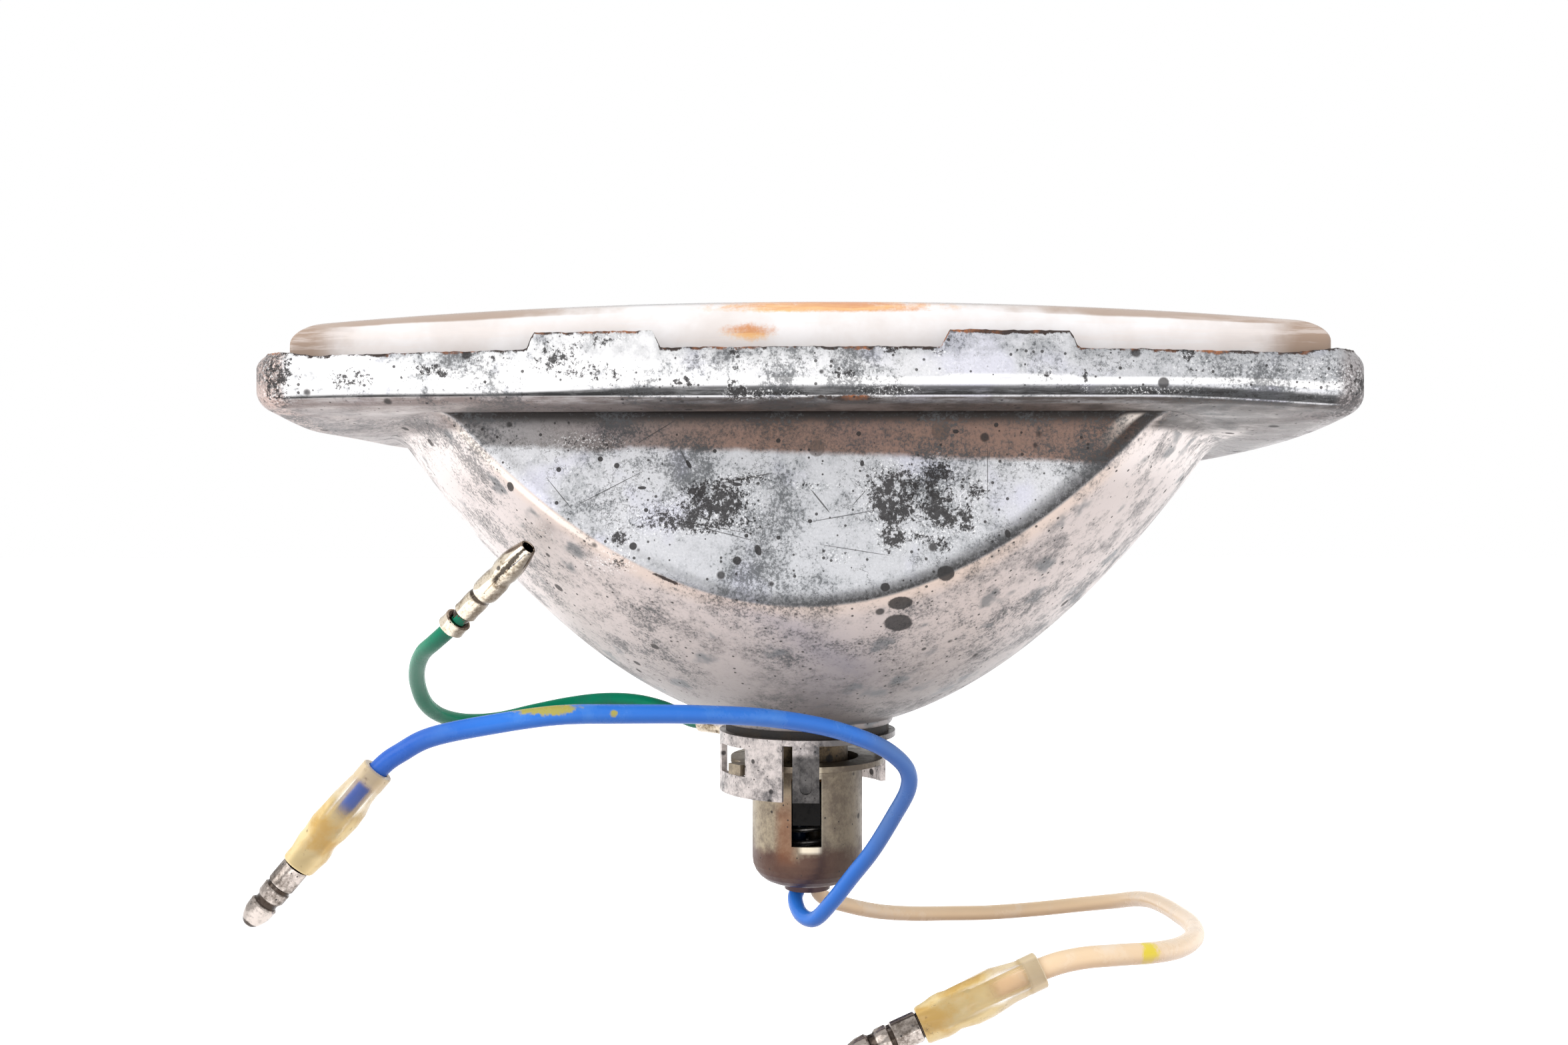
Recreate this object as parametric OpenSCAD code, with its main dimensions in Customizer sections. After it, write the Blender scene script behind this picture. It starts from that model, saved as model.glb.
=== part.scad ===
// Rectangular sealed headlight with a bayonet bulb socket and three pigtails.
// All sizes are in millimetres. +Z points towards the lens, along the beam.
// The origin is on the optical axis, in the plane of the rim's back face.

/* [Rim] */
// Width of the rim over its short sides
rim_w = 164; // [163.5:0.5:180]
// Depth of the rim over its long sides, measured at the corners
rim_d = 122; // [118:1:132]
// How far each long side bows outwards at its middle
rim_bow = 2.8; // [0.5:0.1:4.5]
// Outer radius of the rim's corners
rim_corner_r = 5; // [4.5:0.5:8]
// Height of the rim wall above its back face
rim_h = 8.2; // [7:0.1:10]
// Thickness of the reflector's sheet metal
sheet = 0.8; // [0.6:0.05:1]
// Width of a crimp tab on the rim wall
tab_w = 19; // [10:0.5:24]
// Height of a crimp tab above the rim wall
tab_h = 2.4; // [1:0.1:4]
// Distance of a crimp tab's middle from the centre line
tab_x = 31; // [20:1:45]

/* [Bowl] */
// Focal length of the reflecting bowl
focal_length = 25.25; // [24.5:0.05:25.8]
// Distance from the rim's back face to the bowl's theoretical vertex
bowl_depth = 55.2; // [53.5:0.1:56]
// Distance of each flat side of the bowl from the axis
facet_y = 50.6; // [46:0.1:51.5]
// Outer radius of the neck that carries the bulb seat
neck_r = 15.8; // [15.7:0.05:16.5]
// Length of the neck's straight wall
neck_h = 1; // [0.9:0.1:2]

/* [Lens] */
// Distance of the lens's side wall from the outside of the rim
lens_inset = 4.4; // [3.5:0.1:4.6]
// Thickness of the lens glass
lens_t = 3; // [2.5:0.1:3.2]
// Height of the crowned lens above the rim's back face
lens_top = 17.6; // [16.5:0.1:19]
// Height at which the lens's side wall starts to round over
lens_shoulder = 10.6; // [9.5:0.1:11]
// Radius of the lens's rounded edge
lens_edge_r = 4.8; // [3.5:0.1:5.2]
// Radius of the lens's crown
crown_r = 900; // [700:10:1500]
// Thickness of the sealant under the lens's foot
seal_t = 1; // [0.5:0.1:1.5]
// Height of the sealant beside the lens
seal_h = 6.4; // [4:0.1:6.8]

/* [Bulb seat and bracket] */
// Radius of the hole that the bulb passes through
seat_bore_r = 11; // [10.4:0.05:11.4]
// Outer radius of the seat gasket
gasket_r = 15.1; // [15:0.05:15.8]
// Thickness of the seat gasket
gasket_t = 1.5; // [1:0.1:2.5]
// Outer radius of the bulb bracket
bracket_r = 16.3; // [16:0.05:17]
// Thickness of the bracket's sheet metal
bracket_t = 1; // [0.8:0.05:1.05]
// Length of the bracket's ears and tongue, below its ring
ear_drop = 9.9; // [8.6:0.1:11]
// Width of the bracket's flat tongue
tongue_w = 4.7; // [3.5:0.1:6]
// Depth of the oval dimple in the tongue
dimple_t = 0.4; // [0.2:0.05:0.6]
// Radius of the circle of the bracket's rivets
rivet_circle = 13.6; // [13.5:0.05:13.7]
// Radius of a rivet's shank
rivet_r = 0.9; // [0.7:0.05:1]
// Radius of a rivet's head
rivet_head_r = 1.2; // [1.1:0.05:1.25]
// Number of bracket rivets
rivet_count = 3; // [3:1:4]

/* [Bulb] */
// Thickness of the bulb's flange
bulb_flange_t = 0.8; // [0.6:0.1:1]
// Outer radius of the bulb's base
bulb_base_r = 7.5; // [7.2:0.1:8]
// Length of the bulb's base below its flange
bulb_base_drop = 6; // [5:0.1:6.5]
// Radius of the bulb's glass
bulb_glass_r = 9.5; // [8.5:0.1:10]
// Height of the bulb's glass above its flange
bulb_glass_h = 36; // [34:0.5:40]

/* [Socket] */
// Outer radius of the socket's barrel
barrel_r = 10.2; // [9.8:0.1:10.8]
// Wall thickness of the socket
barrel_t = 0.7; // [0.5:0.05:0.9]
// Outer radius of the socket's flange
socket_flange_r = 14.2; // [13.5:0.1:14.6]
// Gap between the bulb's flange and the socket's flange
socket_gap = 3.2; // [2.8:0.1:3.6]
// Length of the socket from its flange to its rounded end
socket_h = 23.2; // [22:0.1:26]
// Radius of the barrel's rounded end
socket_end_r = 4.6; // [3.5:0.1:4.6]
// Outer radius of the rolled cable mouth
mouth_r = 4.2; // [4.1:0.05:4.4]
// Inner radius of the cable mouth
mouth_bore_r = 3.4; // [3.3:0.05:3.6]
// Length of the cable mouth
mouth_h = 1.4; // [1:0.1:2]
// Width of the keyway in the barrel
keyway_w = 5.4; // [4:0.1:6]
// Height of a bayonet lug
lug_h = 1.9; // [1.2:0.1:2.4]
// Angle that a bayonet lug covers
lug_span = 12; // [8:1:14]
// Angle that the socket turns through in the bracket's windows
turn_span = 15; // [10:1:18]

/* [Contacts] */
// Travel of the spring-loaded contact carrier
press_travel = 2; // [1:0.1:2.5]
// Height of the contact carrier
carrier_h = 6.5; // [5.5:0.1:7]
// Thickness of the carrier's roof
carrier_roof_t = 2.3; // [1.8:0.1:2.8]
// Distance of each contact from the axis
contact_x = 3.2; // [2.8:0.1:3.3]
// Diameter of the spring's wire
spring_d = 0.9; // [0.6:0.05:1]
// Number of turns of the spring
spring_turns = 6; // [4:1:8]

/* [Wires] */
// Diameter of each wire over its insulation
wire_d = 2.8; // [2:0.1:2.8]
// Length of a clear sleeve
sleeve_h = 16.8; // [14:0.1:20]
// Length of a bullet that stands out of its sleeve
bullet_out = 10.5; // [8:0.1:12]
// Radius of a bullet's body
bullet_r = 1.95; // [1.8:0.05:2]
// Length of the green wire's bare terminal
terminal_h = 21; // [19:0.5:24]

/* [Hidden] */
$fn = 96;

// Clearances
slide_gap = 0.4;      // sliding pieces of the socket
fit_gap = 0.05;       // soldered, riveted and pressed pieces
contact_gap = 0.1;    // between touching contacts
end_gap = 0.25;       // end of a wire from the piece that it is joined to
lug_rest_gap = 0.2;   // lug over the lower edge of its window
window_slack = 2;     // degrees between a lug and the end of its window
cut = 1;              // how far a cutting solid runs past a face

// Heights along the axis, from the bowl down to the cable mouth
bowl_f4 = 4 * focal_length;
neck_z = neck_r * neck_r / bowl_f4 - bowl_depth;
seat_z = neck_z - neck_h;
gasket_z = seat_z - gasket_t;
bracket_z = gasket_z - bracket_t;
bulb_flange_z = bracket_z - bulb_flange_t;
bulb_base_z = bulb_flange_z - bulb_base_drop;
socket_z = bulb_flange_z - socket_gap;
socket_end_z = socket_z - socket_h;
socket_floor_z = socket_end_z + barrel_t;
bulb_contact_t = 0.8;
contact_t = 0.9;
contact_z = bulb_base_z - bulb_contact_t - contact_gap;
carrier_z = contact_z - contact_t;
carrier_roof_z = carrier_z - carrier_roof_t;

// Bulb sizes that follow from the seat and the base
bulb_flange_r = rivet_circle - rivet_head_r - 0.3;
rivet_head_t = 0.5;
bulb_wall = 0.5;
glass_wall = 0.8;
glass_top_z = bulb_flange_z + bulb_glass_h;
glass_neck_r = bulb_base_r - bulb_wall - 0.4;
glass_foot_z = bracket_z + 2.2;
collar_h = 6;
focus_z = focal_length - bowl_depth;
lo_filament_z = focus_z + 3.5;
filament_r = 0.5;
filament_w = 5;
post_r = 0.35;
stem_h = 4;
shield_r = 3;
shield_t = 0.3;

// Bayonet: angles are measured round the axis from +X
lug_angles = [220, 57];
ear_angles = [[170, 85], [25, 52]];
lug_reach = 0.6;
lug_z = socket_z - lug_h;
window_h = 5;
window_z = lug_z - lug_rest_gap;
flange_t = 1;
keyway_z = socket_z - flange_t - 1.8;
keyway_low_z = carrier_z - carrier_h - press_travel - 1.9;
dimple_r = 1.1;
dimple_h = 5;
key_slack = 0.25;

// Contacts and spring
contact_w = 2.6;
contact_l = 5;
tail_r = 1;
tail_h = 3.2;
carrier_r = barrel_r - barrel_t - slide_gap;
carrier_wall = 2.2;
spring_r = mouth_bore_r + 1.5;
spring_rings = 8;

// Earth lug on the bracket
earth_angle = 145;
earth_tab_w = 5;
earth_tab_h = 4.2;
earth_rivet_at = bracket_r + 2.4;
earth_crimp_r = 2;
earth_crimp_h = 4.7;
earth_crimp_z = bracket_z + 0.15;
earth_end_at = bracket_r + earth_tab_h + 0.3 + earth_crimp_h;
earth_wire_at = earth_end_at + end_gap;
earth_wire_start = [
    earth_wire_at * cos(earth_angle), earth_wire_at * sin(earth_angle), earth_crimp_z
];

// Routes of the wires, from the socket or the earth lug to their terminals
wire_top_z = carrier_z - tail_h - press_travel - end_gap;
blue_route = [
    [-1.6, 0, wire_top_z], [-1.6, 0, -77], [-1.6, 0, -84], [-2.2, -2, -86.5],
    [-1, -6, -88.3], [1.5, -10, -88], [4.5, -14, -84], [8, -18, -78.5],
    [11.5, -22, -73], [15, -25, -66.5], [17.2, -28, -61.5], [17, -30, -58],
    [14.5, -32, -55], [10.5, -34.5, -52.5], [3.5, -40, -49.5], [-5.5, -48, -47],
    [-15, -56, -45.5], [-25.5, -63.5, -44.5], [-34, -69, -44], [-43, -72, -45],
    [-50.5, -73, -46.5], [-54.5, -73.2, -48.5]
];
blue_entry = [-57.8, -73.5, -51];
blue_tip = [-75.2, -75, -71.7];
white_route = [
    [1.6, 0, wire_top_z], [1.6, 0, -77], [1.6, 0, -84], [3, 1.5, -87],
    [7, 4, -89], [13, 9, -91.5], [20, 15, -93.5], [28, 20, -94.7],
    [36, 22, -95], [45, 21, -94], [53, 17, -92], [58.5, 10, -89.5],
    [61, 2, -87], [62, -7, -85], [62.3, -17, -83.5], [62, -28, -82],
    [61, -40, -80.2], [59, -51, -78.6], [56, -61, -77], [52, -70, -75.5],
    [47, -77.5, -74], [41.5, -81.5, -73.2], [36, -84, -73]
];
white_entry = [31, -86, -73.8];
white_tip = [8, -89, -83.6];
green_route = [
    [-23.5, 16.5, -55.9], [-29, 19.5, -54], [-35, 21.5, -52.3], [-41.5, 22.3, -51.9],
    [-48, 21.7, -52.8], [-54.5, 18, -54.5], [-60.5, 12, -55.4], [-65, 5.5, -54.9],
    [-67.8, -2, -53], [-68.8, -9.5, -49.9], [-68.3, -16.5, -45.8], [-66.5, -23.5, -42],
    [-63.7, -30, -38.8], [-60.3, -35, -36.5]
];
green_entry = [-57, -38, -34];
green_tip = [-42.4, -46, -20.5];

sleeve_r = 2.3;
sleeve_bulge_r = 2.8;
bullet_in = 7.5;      // length of a bullet inside its sleeve
bullet_root_r = bullet_r - 0.35;
terminal_grip = 6.5;  // length of wire inside the green terminal
terminal_r = 2.1;

// Outline of the rim, or of a piece set in from it: rounded corners and
// long sides that bow outwards
side_steps = 12;
corner_steps = 6;
function corner(x, y, r, start, from, to) = [
    for (i = [from:to])
        let (t = start + 90 * i / corner_steps) [x + r * cos(t), y + r * sin(t)]
];
function outline(inset) =
    let (
        a = rim_w / 2 - inset,
        b = rim_d / 2 - inset,
        r = max(rim_corner_r - inset, 1),
        s = a - r,
        side = [
            for (i = [0:side_steps])
                let (x = -s + 2 * s * i / side_steps) [x, -b - rim_bow * (1 - x * x / (s * s))]
        ]
    )
    concat(
        side,
        corner(s, r - b, r, -90, 1, corner_steps),
        corner(s, b - r, r, 0, 0, corner_steps - 1),
        [for (p = side) -p],
        corner(-s, b - r, r, 90, 1, corner_steps),
        corner(-s, r - b, r, 180, 0, corner_steps - 1)
    );

module slab(inset, z, h) {
    translate([0, 0, z]) linear_extrude(h) polygon(outline(inset));
}

// The bowl's outer curve, and the same curve moved inwards by the sheet
bowl_steps = 16;
function bowl_outer(r) = [r, r * r / bowl_f4 - bowl_depth];
function bowl_inner(r) =
    let (slope = 2 * r / bowl_f4, s = sqrt(1 + slope * slope))
    [r - sheet * slope / s, r * r / bowl_f4 - bowl_depth + sheet / s];
function bowl_radius(z) = sqrt(bowl_f4 * (z + bowl_depth));
function bowl_steps_to(r) = [
    for (i = [0:bowl_steps]) neck_r + (r - neck_r) * i / bowl_steps
];

// A ring sector round the axis
module sector(r_in, r_out, z, h, start, span) {
    rotate([0, 0, start]) rotate_extrude(angle = span)
        translate([r_in, z]) square([r_out - r_in, h]);
}

// Places a piece drawn along +Z on the line from p towards q
module along(p, q) {
    d = q - p;
    translate(p) rotate([0, atan2(norm([d.x, d.y]), d.z), atan2(d.y, d.x)]) children();
}
function ahead(p, q, distance) = p + distance * (q - p) / norm(q - p);

// A tube swept along points, with its rings carried round the bends untwisted
function unit(v) = v / norm(v);
function heading(p, i) = unit(p[min(i + 1, len(p) - 1)] - p[max(i - 1, 0)]);
function square_to(v, t) = unit(v - t * (v * t));
function carried(p, first) = [
    for (i = 0, u = square_to(first, heading(p, 0)); i < len(p);
         i = i + 1, u = square_to(u, heading(p, min(i, len(p) - 1)))) u
];
module tube(p, d, sides, first) {
    n = len(p);
    across = carried(p, first);
    rings = [
        for (i = [0:n - 1])
            let (u = across[i], v = cross(heading(p, i), u))
            for (k = [0:sides - 1])
                p[i] + d / 2 * (u * cos(360 * k / sides) + v * sin(360 * k / sides))
    ];
    walls = [
        for (i = [0:n - 2], k = [0:sides - 1])
            let (a = i * sides + k, b = i * sides + (k + 1) % sides)
            each [[a, a + sides, b], [b, a + sides, b + sides]]
    ];
    caps = [
        [for (k = [0:sides - 1]) k],
        [for (k = [sides - 1:-1:0]) (n - 1) * sides + k]
    ];
    polyhedron(points = rings, faces = concat(walls, caps));
}

// The spring's centre line, and its least gap to itself
spring_low = socket_floor_z + spring_d / 2 + fit_gap;
spring_high = carrier_roof_z - spring_d / 2 - fit_gap;
spring_line = [
    for (i = [0:spring_turns * spring_rings])
        let (t = i / (spring_turns * spring_rings), a = 360 * i / spring_rings)
        [spring_r * cos(a), spring_r * sin(a), spring_low + (spring_high - spring_low) * t]
];
function least_gap(p, d, apart) = min([
    for (i = [0:len(p) - 1 - apart], j = [i + apart:len(p) - 1]) norm(p[i] - p[j]) - d
]);
echo(least_gap_of_contact_spring = least_gap(spring_line, spring_d, spring_rings - 2));

module lens_block(inset, z) {
    hull() {
        slab(lens_inset + inset, z, lens_shoulder - inset - z);
        for (t = [22.5:22.5:90])
            slab(lens_inset + inset + lens_edge_r * (1 - cos(t)),
                 lens_shoulder - inset + lens_edge_r * sin(t), 0.01);
        slab(rim_d / 3, lens_top - inset + cut, 0.01);
    }
}

module crown(inset) {
    translate([0, 0, lens_top - crown_r]) sphere(r = crown_r - inset, $fn = 360);
}

module lens() {
    color("#DCE3E2") difference() {
        intersection() {
            lens_block(0, sheet + seal_t);
            crown(0);
        }
        intersection() {
            lens_block(lens_t, 0);
            crown(lens_t);
        }
    }
}

module lens_sealant() {
    color("#6B5A4A") difference() {
        slab(sheet, sheet, seal_h - sheet);
        slab(lens_inset, sheet + seal_t, seal_h);
        slab(lens_inset + lens_t, 0, seal_h);
    }
}

module bowl_solid() {
    profile = concat(
        [[0, seat_z], [neck_r, seat_z]],
        [for (r = bowl_steps_to(bowl_radius(sheet))) bowl_outer(r)],
        [[0, sheet]]
    );
    intersection() {
        rotate_extrude() polygon(profile);
        translate([-rim_w, -facet_y, -rim_w]) cube([2 * rim_w, 2 * facet_y, 2 * rim_w]);
    }
}

module bowl_cavity() {
    low = bowl_inner(neck_r);
    profile = concat(
        [[0, seat_z + sheet], [neck_r - sheet, seat_z + sheet], [neck_r - sheet, low.y]],
        [for (r = bowl_steps_to(bowl_radius(sheet))) bowl_inner(r)],
        [[bowl_inner(bowl_radius(sheet)).x, 2 * sheet], [0, 2 * sheet]]
    );
    half = facet_y - sheet;
    intersection() {
        rotate_extrude() polygon(profile);
        translate([-rim_w, -half, -rim_w]) cube([2 * rim_w, 2 * half, 2 * rim_w]);
    }
}

module rivet_holes(z, h) {
    for (i = [0:rivet_count - 1])
        rotate([0, 0, 30 + 360 * i / rivet_count]) translate([rivet_circle, 0, z])
            cylinder(r = rivet_r + fit_gap, h = h);
}

// The opening in the gutter floor, where the bowl passes through it
module bowl_opening() {
    half = facet_y + fit_gap;
    intersection() {
        translate([0, 0, -cut]) cylinder(r = bowl_radius(sheet) + fit_gap, h = sheet + 2 * cut);
        translate([-rim_w, -half, -cut]) cube([2 * rim_w, 2 * half, sheet + 2 * cut]);
    }
}

// The pressing's rim: gutter floor, wall and crimp tabs
module rim() {
    color("#C9C4BF") {
        difference() {
            slab(0, 0, sheet);
            bowl_opening();
        }
        difference() {
            slab(0, 0, rim_h);
            slab(sheet, -cut, rim_h + 2 * cut);
        }
        intersection() {
            difference() {
                slab(0, 0, rim_h + tab_h);
                slab(sheet, -cut, rim_h + tab_h + 2 * cut);
            }
            for (side = [-1, 1])
                translate([side * tab_x - tab_w / 2, -rim_d, rim_h - cut])
                    cube([tab_w, 2 * rim_d, tab_h + 2 * cut]);
        }
    }
}

// The pressing's bowl, which meets the rim at the edge of its gutter floor
module reflector() {
    color("#C9C4BF") difference() {
        bowl_solid();
        bowl_cavity();
        translate([0, 0, seat_z - cut]) cylinder(r = seat_bore_r, h = sheet + 2 * cut);
        rivet_holes(seat_z - cut, sheet + 2 * cut);
    }
}

module bulb_seat_gasket() {
    color("#26221F") difference() {
        translate([0, 0, gasket_z]) cylinder(r = gasket_r, h = gasket_t);
        translate([0, 0, gasket_z - cut])
            cylinder(r = seat_bore_r + slide_gap, h = gasket_t + 2 * cut);
        rivet_holes(gasket_z - cut, gasket_t + 2 * cut);
    }
}

module bracket_tongue() {
    low = bracket_z - ear_drop;
    middle = bracket_z - ear_drop / 2 - 1;
    difference() {
        translate([-tongue_w / 2, -bracket_r, low])
            cube([tongue_w, bracket_t, ear_drop + bracket_t]);
        for (dz = [-1, 1])
            translate([0, dimple_t - bracket_r, middle + dz * (dimple_h / 2 - dimple_r)])
                rotate([90, 0, 0]) cylinder(r = dimple_r, h = cut);
        translate([-dimple_r, -bracket_r - cut, middle + dimple_r - dimple_h / 2])
            cube([2 * dimple_r, cut + dimple_t, dimple_h - 2 * dimple_r]);
    }
}

module bulb_bracket() {
    low = bracket_z - ear_drop;
    inner = bracket_r - bracket_t;
    color("#9C948C") difference() {
        union() {
            translate([0, 0, bracket_z]) cylinder(r = bracket_r, h = bracket_t);
            for (ear = ear_angles)
                sector(inner, bracket_r, low, ear_drop + bracket_t, ear[0], ear[1]);
            bracket_tongue();
            rotate([0, 0, earth_angle]) translate([inner, -earth_tab_w / 2, bracket_z])
                cube([bracket_t + earth_tab_h, earth_tab_w, bracket_t]);
        }
        translate([0, 0, bracket_z - cut]) cylinder(r = seat_bore_r, h = bracket_t + 2 * cut);
        rivet_holes(bracket_z - cut, bracket_t + 2 * cut);
        for (lug = lug_angles)
            sector(inner - cut, bracket_r + cut, window_z, window_h,
                   lug - lug_span / 2 - turn_span - window_slack,
                   lug_span + turn_span + 2 * window_slack);
        rotate([0, 0, earth_angle]) translate([earth_rivet_at, 0, bracket_z - cut])
            cylinder(r = rivet_r + fit_gap, h = bracket_t + 2 * cut);
    }
}

module rivet(low, high) {
    translate([0, 0, low]) cylinder(r = rivet_r, h = high - low);
    translate([0, 0, high]) cylinder(r = rivet_head_r, h = rivet_head_t);
    translate([0, 0, low - rivet_head_t]) cylinder(r = rivet_head_r, h = rivet_head_t);
}

module bracket_rivets() {
    color("#8F8A84")
        for (i = [0:rivet_count - 1])
            rotate([0, 0, 30 + 360 * i / rivet_count]) translate([rivet_circle, 0, 0])
                rivet(bracket_z, seat_z + sheet);
}

module bulb_flange() {
    color("#B9B2A2") translate([0, 0, bulb_flange_z]) difference() {
        cylinder(r = bulb_flange_r, h = bulb_flange_t);
        translate([0, 0, -cut])
            cylinder(r = bulb_base_r + fit_gap, h = bulb_flange_t + 2 * cut);
    }
}

module bulb_base() {
    color("#C2B48C") translate([0, 0, bulb_base_z]) difference() {
        cylinder(r = bulb_base_r, h = bulb_base_drop + collar_h);
        translate([0, 0, -cut])
            cylinder(r = bulb_base_r - bulb_wall, h = bulb_base_drop + collar_h + 2 * cut);
    }
}

// Half profile of the bulb's glass: neck, shoulder and round top
function glass_profile(inset) =
    let (r = bulb_glass_r - inset)
    concat(
        [
            [0, glass_foot_z - inset], [glass_neck_r - inset, glass_foot_z - inset],
            [glass_neck_r - inset, glass_foot_z + 4], [r, glass_foot_z + 10]
        ],
        [
            for (t = [0:10:90])
                [r * cos(t), glass_top_z - bulb_glass_r + r * sin(t)]
        ]
    );

module bulb_glass() {
    color("#E6ECEC") difference() {
        rotate_extrude() polygon(glass_profile(0));
        rotate_extrude() polygon(glass_profile(glass_wall));
    }
}

module bulb_insulator() {
    color("#3A3230") translate([0, 0, bulb_base_z])
        cylinder(r = bulb_base_r - bulb_wall - fit_gap, h = 1.5);
}

module bulb_contacts() {
    color("#BFB7A4")
        for (side = [-1, 1])
            translate([side * contact_x, 0, bulb_base_z - bulb_contact_t])
                cylinder(r = 1.5, h = bulb_contact_t);
}

module filament_supports() {
    at = filament_w / 2 + post_r + fit_gap;
    foot = glass_foot_z;
    color("#A9A59C") {
        translate([0, 0, foot])
            cylinder(r = glass_neck_r - glass_wall - fit_gap, h = stem_h);
        for (side = [-1, 1]) {
            translate([side * at, 0, foot])
                cylinder(r = post_r, h = focus_z + filament_r - foot);
            translate([side * at, 2, foot])
                cylinder(r = post_r, h = lo_filament_z + filament_r - foot);
        }
        translate([0, 3.5, foot])
            cylinder(r = post_r, h = lo_filament_z - 1.8 - shield_t - foot);
    }
}

module filament(y, z) {
    translate([-filament_w / 2, y, z]) rotate([0, 90, 0])
        cylinder(r = filament_r, h = filament_w);
}

module hi_filament() {
    color("#77777A") filament(0, focus_z);
}

module lo_filament() {
    color("#77777A") filament(2, lo_filament_z);
}

module lo_shield() {
    color("#8A8780") translate([0, 2.2, lo_filament_z - 1.8 - shield_t]) difference() {
        cylinder(r = shield_r, h = shield_t + 0.6);
        translate([0, 0, shield_t]) cylinder(r = shield_r - 0.3, h = cut);
        for (side = [-1, 1], dy = [-0.2])
            translate([side * (filament_w / 2 + post_r + fit_gap), dy, -cut])
                cylinder(r = post_r + slide_gap, h = 3 * cut);
    }
}

// Half profile of the socket: flange, barrel, rounded end and cable mouth
socket_profile =
    let (
        inner = barrel_r - barrel_t,
        bend_r = barrel_r - socket_end_r,
        bend_z = socket_end_z + socket_end_r
    )
    concat(
        [
            [inner, socket_z], [socket_flange_r, socket_z],
            [socket_flange_r, socket_z - flange_t], [barrel_r + 0.8, socket_z - flange_t],
            [barrel_r, socket_z - flange_t - 0.8]
        ],
        [
            for (t = [0:15:90])
                [bend_r + socket_end_r * cos(t), bend_z - socket_end_r * sin(t)]
        ],
        [
            [mouth_r, socket_end_z], [mouth_r, socket_end_z - mouth_h],
            [mouth_bore_r, socket_end_z - mouth_h], [mouth_bore_r, socket_floor_z]
        ],
        [
            for (t = [90:-15:0])
                [
                    bend_r + (socket_end_r - barrel_t) * cos(t),
                    bend_z - (socket_end_r - barrel_t) * sin(t)
                ]
        ]
    );

module socket_shell() {
    color("#B5A98F") {
        difference() {
            rotate_extrude() polygon(socket_profile);
            translate([-keyway_w / 2, -barrel_r - cut, keyway_low_z])
                cube([keyway_w, barrel_r, keyway_z - keyway_low_z]);
        }
        for (lug = lug_angles)
            sector(socket_flange_r - 0.5, bracket_r + lug_reach, lug_z, lug_h,
                   lug - lug_span / 2, lug_span);
    }
}

module contact_carrier() {
    low = carrier_z - carrier_h;
    key_w = keyway_w - 2 * key_slack;
    color("#3B3936") difference() {
        union() {
            translate([0, 0, low]) cylinder(r = carrier_r, h = carrier_h);
            translate([-key_w / 2, -barrel_r + 0.2, low]) cube([key_w, carrier_r, carrier_h]);
        }
        translate([0, 0, low - cut])
            cylinder(r = carrier_r - carrier_wall, h = carrier_h - carrier_roof_t + cut);
        for (side = [-1, 1])
            translate([side * contact_x, 0, low])
                cylinder(r = tail_r + fit_gap, h = carrier_h + cut);
    }
}

module contact(side) {
    color("#C49A5A") translate([side * contact_x, 0, 0]) {
        translate([-contact_w / 2, -contact_l / 2, carrier_z])
            cube([contact_w, contact_l, contact_t]);
        translate([0, 0, carrier_z - tail_h]) cylinder(r = tail_r, h = tail_h);
    }
}

module hi_contact() {
    contact(-1);
}

module lo_contact() {
    contact(1);
}

module contact_spring() {
    color("#7D7A76") tube(spring_line, spring_d, 6, [1, 0, 0]);
}

module earth_lug() {
    color("#B8A88A") rotate([0, 0, earth_angle]) difference() {
        union() {
            translate([bracket_r + 0.4, -earth_tab_w / 2, bracket_z - sheet])
                cube([earth_tab_h + 1.5, earth_tab_w, sheet]);
            translate([earth_end_at - earth_crimp_h, 0, earth_crimp_z]) rotate([0, 90, 0])
                cylinder(r = earth_crimp_r, h = earth_crimp_h);
        }
        translate([earth_rivet_at, 0, bracket_z - 2 * cut])
            cylinder(r = rivet_r + fit_gap, h = 3 * cut);
    }
}

module earth_rivet() {
    color("#8F8A84") rotate([0, 0, earth_angle]) translate([earth_rivet_at, 0, 0])
        rivet(bracket_z - sheet, bracket_z + bracket_t);
}

module sleeve(entry, tip) {
    inner = wire_d / 2 + 0.1;
    far = bullet_root_r + fit_gap;
    color("#E6CF95") along(entry, tip) rotate_extrude() polygon([
        [inner, 0], [sleeve_r, 0], [sleeve_r, 2], [sleeve_bulge_r, sleeve_h * 0.45],
        [sleeve_bulge_r, sleeve_h * 0.6], [sleeve_r + 0.2, sleeve_h], [far, sleeve_h],
        [far, sleeve_h - bullet_in - 0.3], [inner, sleeve_h - bullet_in - 1.5]
    ]);
}

module bullet(entry, tip) {
    start = sleeve_h - bullet_in;
    end = sleeve_h + bullet_out;
    color("#B8B2A6") along(entry, tip) rotate_extrude() polygon([
        [0, start], [bullet_root_r, start], [bullet_root_r, sleeve_h + end_gap],
        [bullet_r, sleeve_h + end_gap], [bullet_r, end - 4.5],
        [bullet_r - 0.4, end - 4], [bullet_r - 0.4, end - 3.4],
        [bullet_r, end - 3], [bullet_r - 0.1, end - 1.6], [bullet_r - 0.6, end - 0.5],
        [bullet_r - 1.1, end], [0, end]
    ]);
}

module wire(route, entry, tip, grip) {
    tube(concat(route, [entry, ahead(entry, tip, grip)]), wire_d, 8, [0, 1, 0]);
}

module blue_wire() {
    color("#3C6FE0") wire(blue_route, blue_entry, blue_tip, sleeve_h - bullet_in);
}

module blue_sleeve() {
    sleeve(blue_entry, blue_tip);
}

module blue_bullet() {
    bullet(blue_entry, blue_tip);
}

module white_wire() {
    color("#E8D5C4") wire(white_route, white_entry, white_tip, sleeve_h - bullet_in);
}

module white_sleeve() {
    sleeve(white_entry, white_tip);
}

module white_bullet() {
    bullet(white_entry, white_tip);
}

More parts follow.
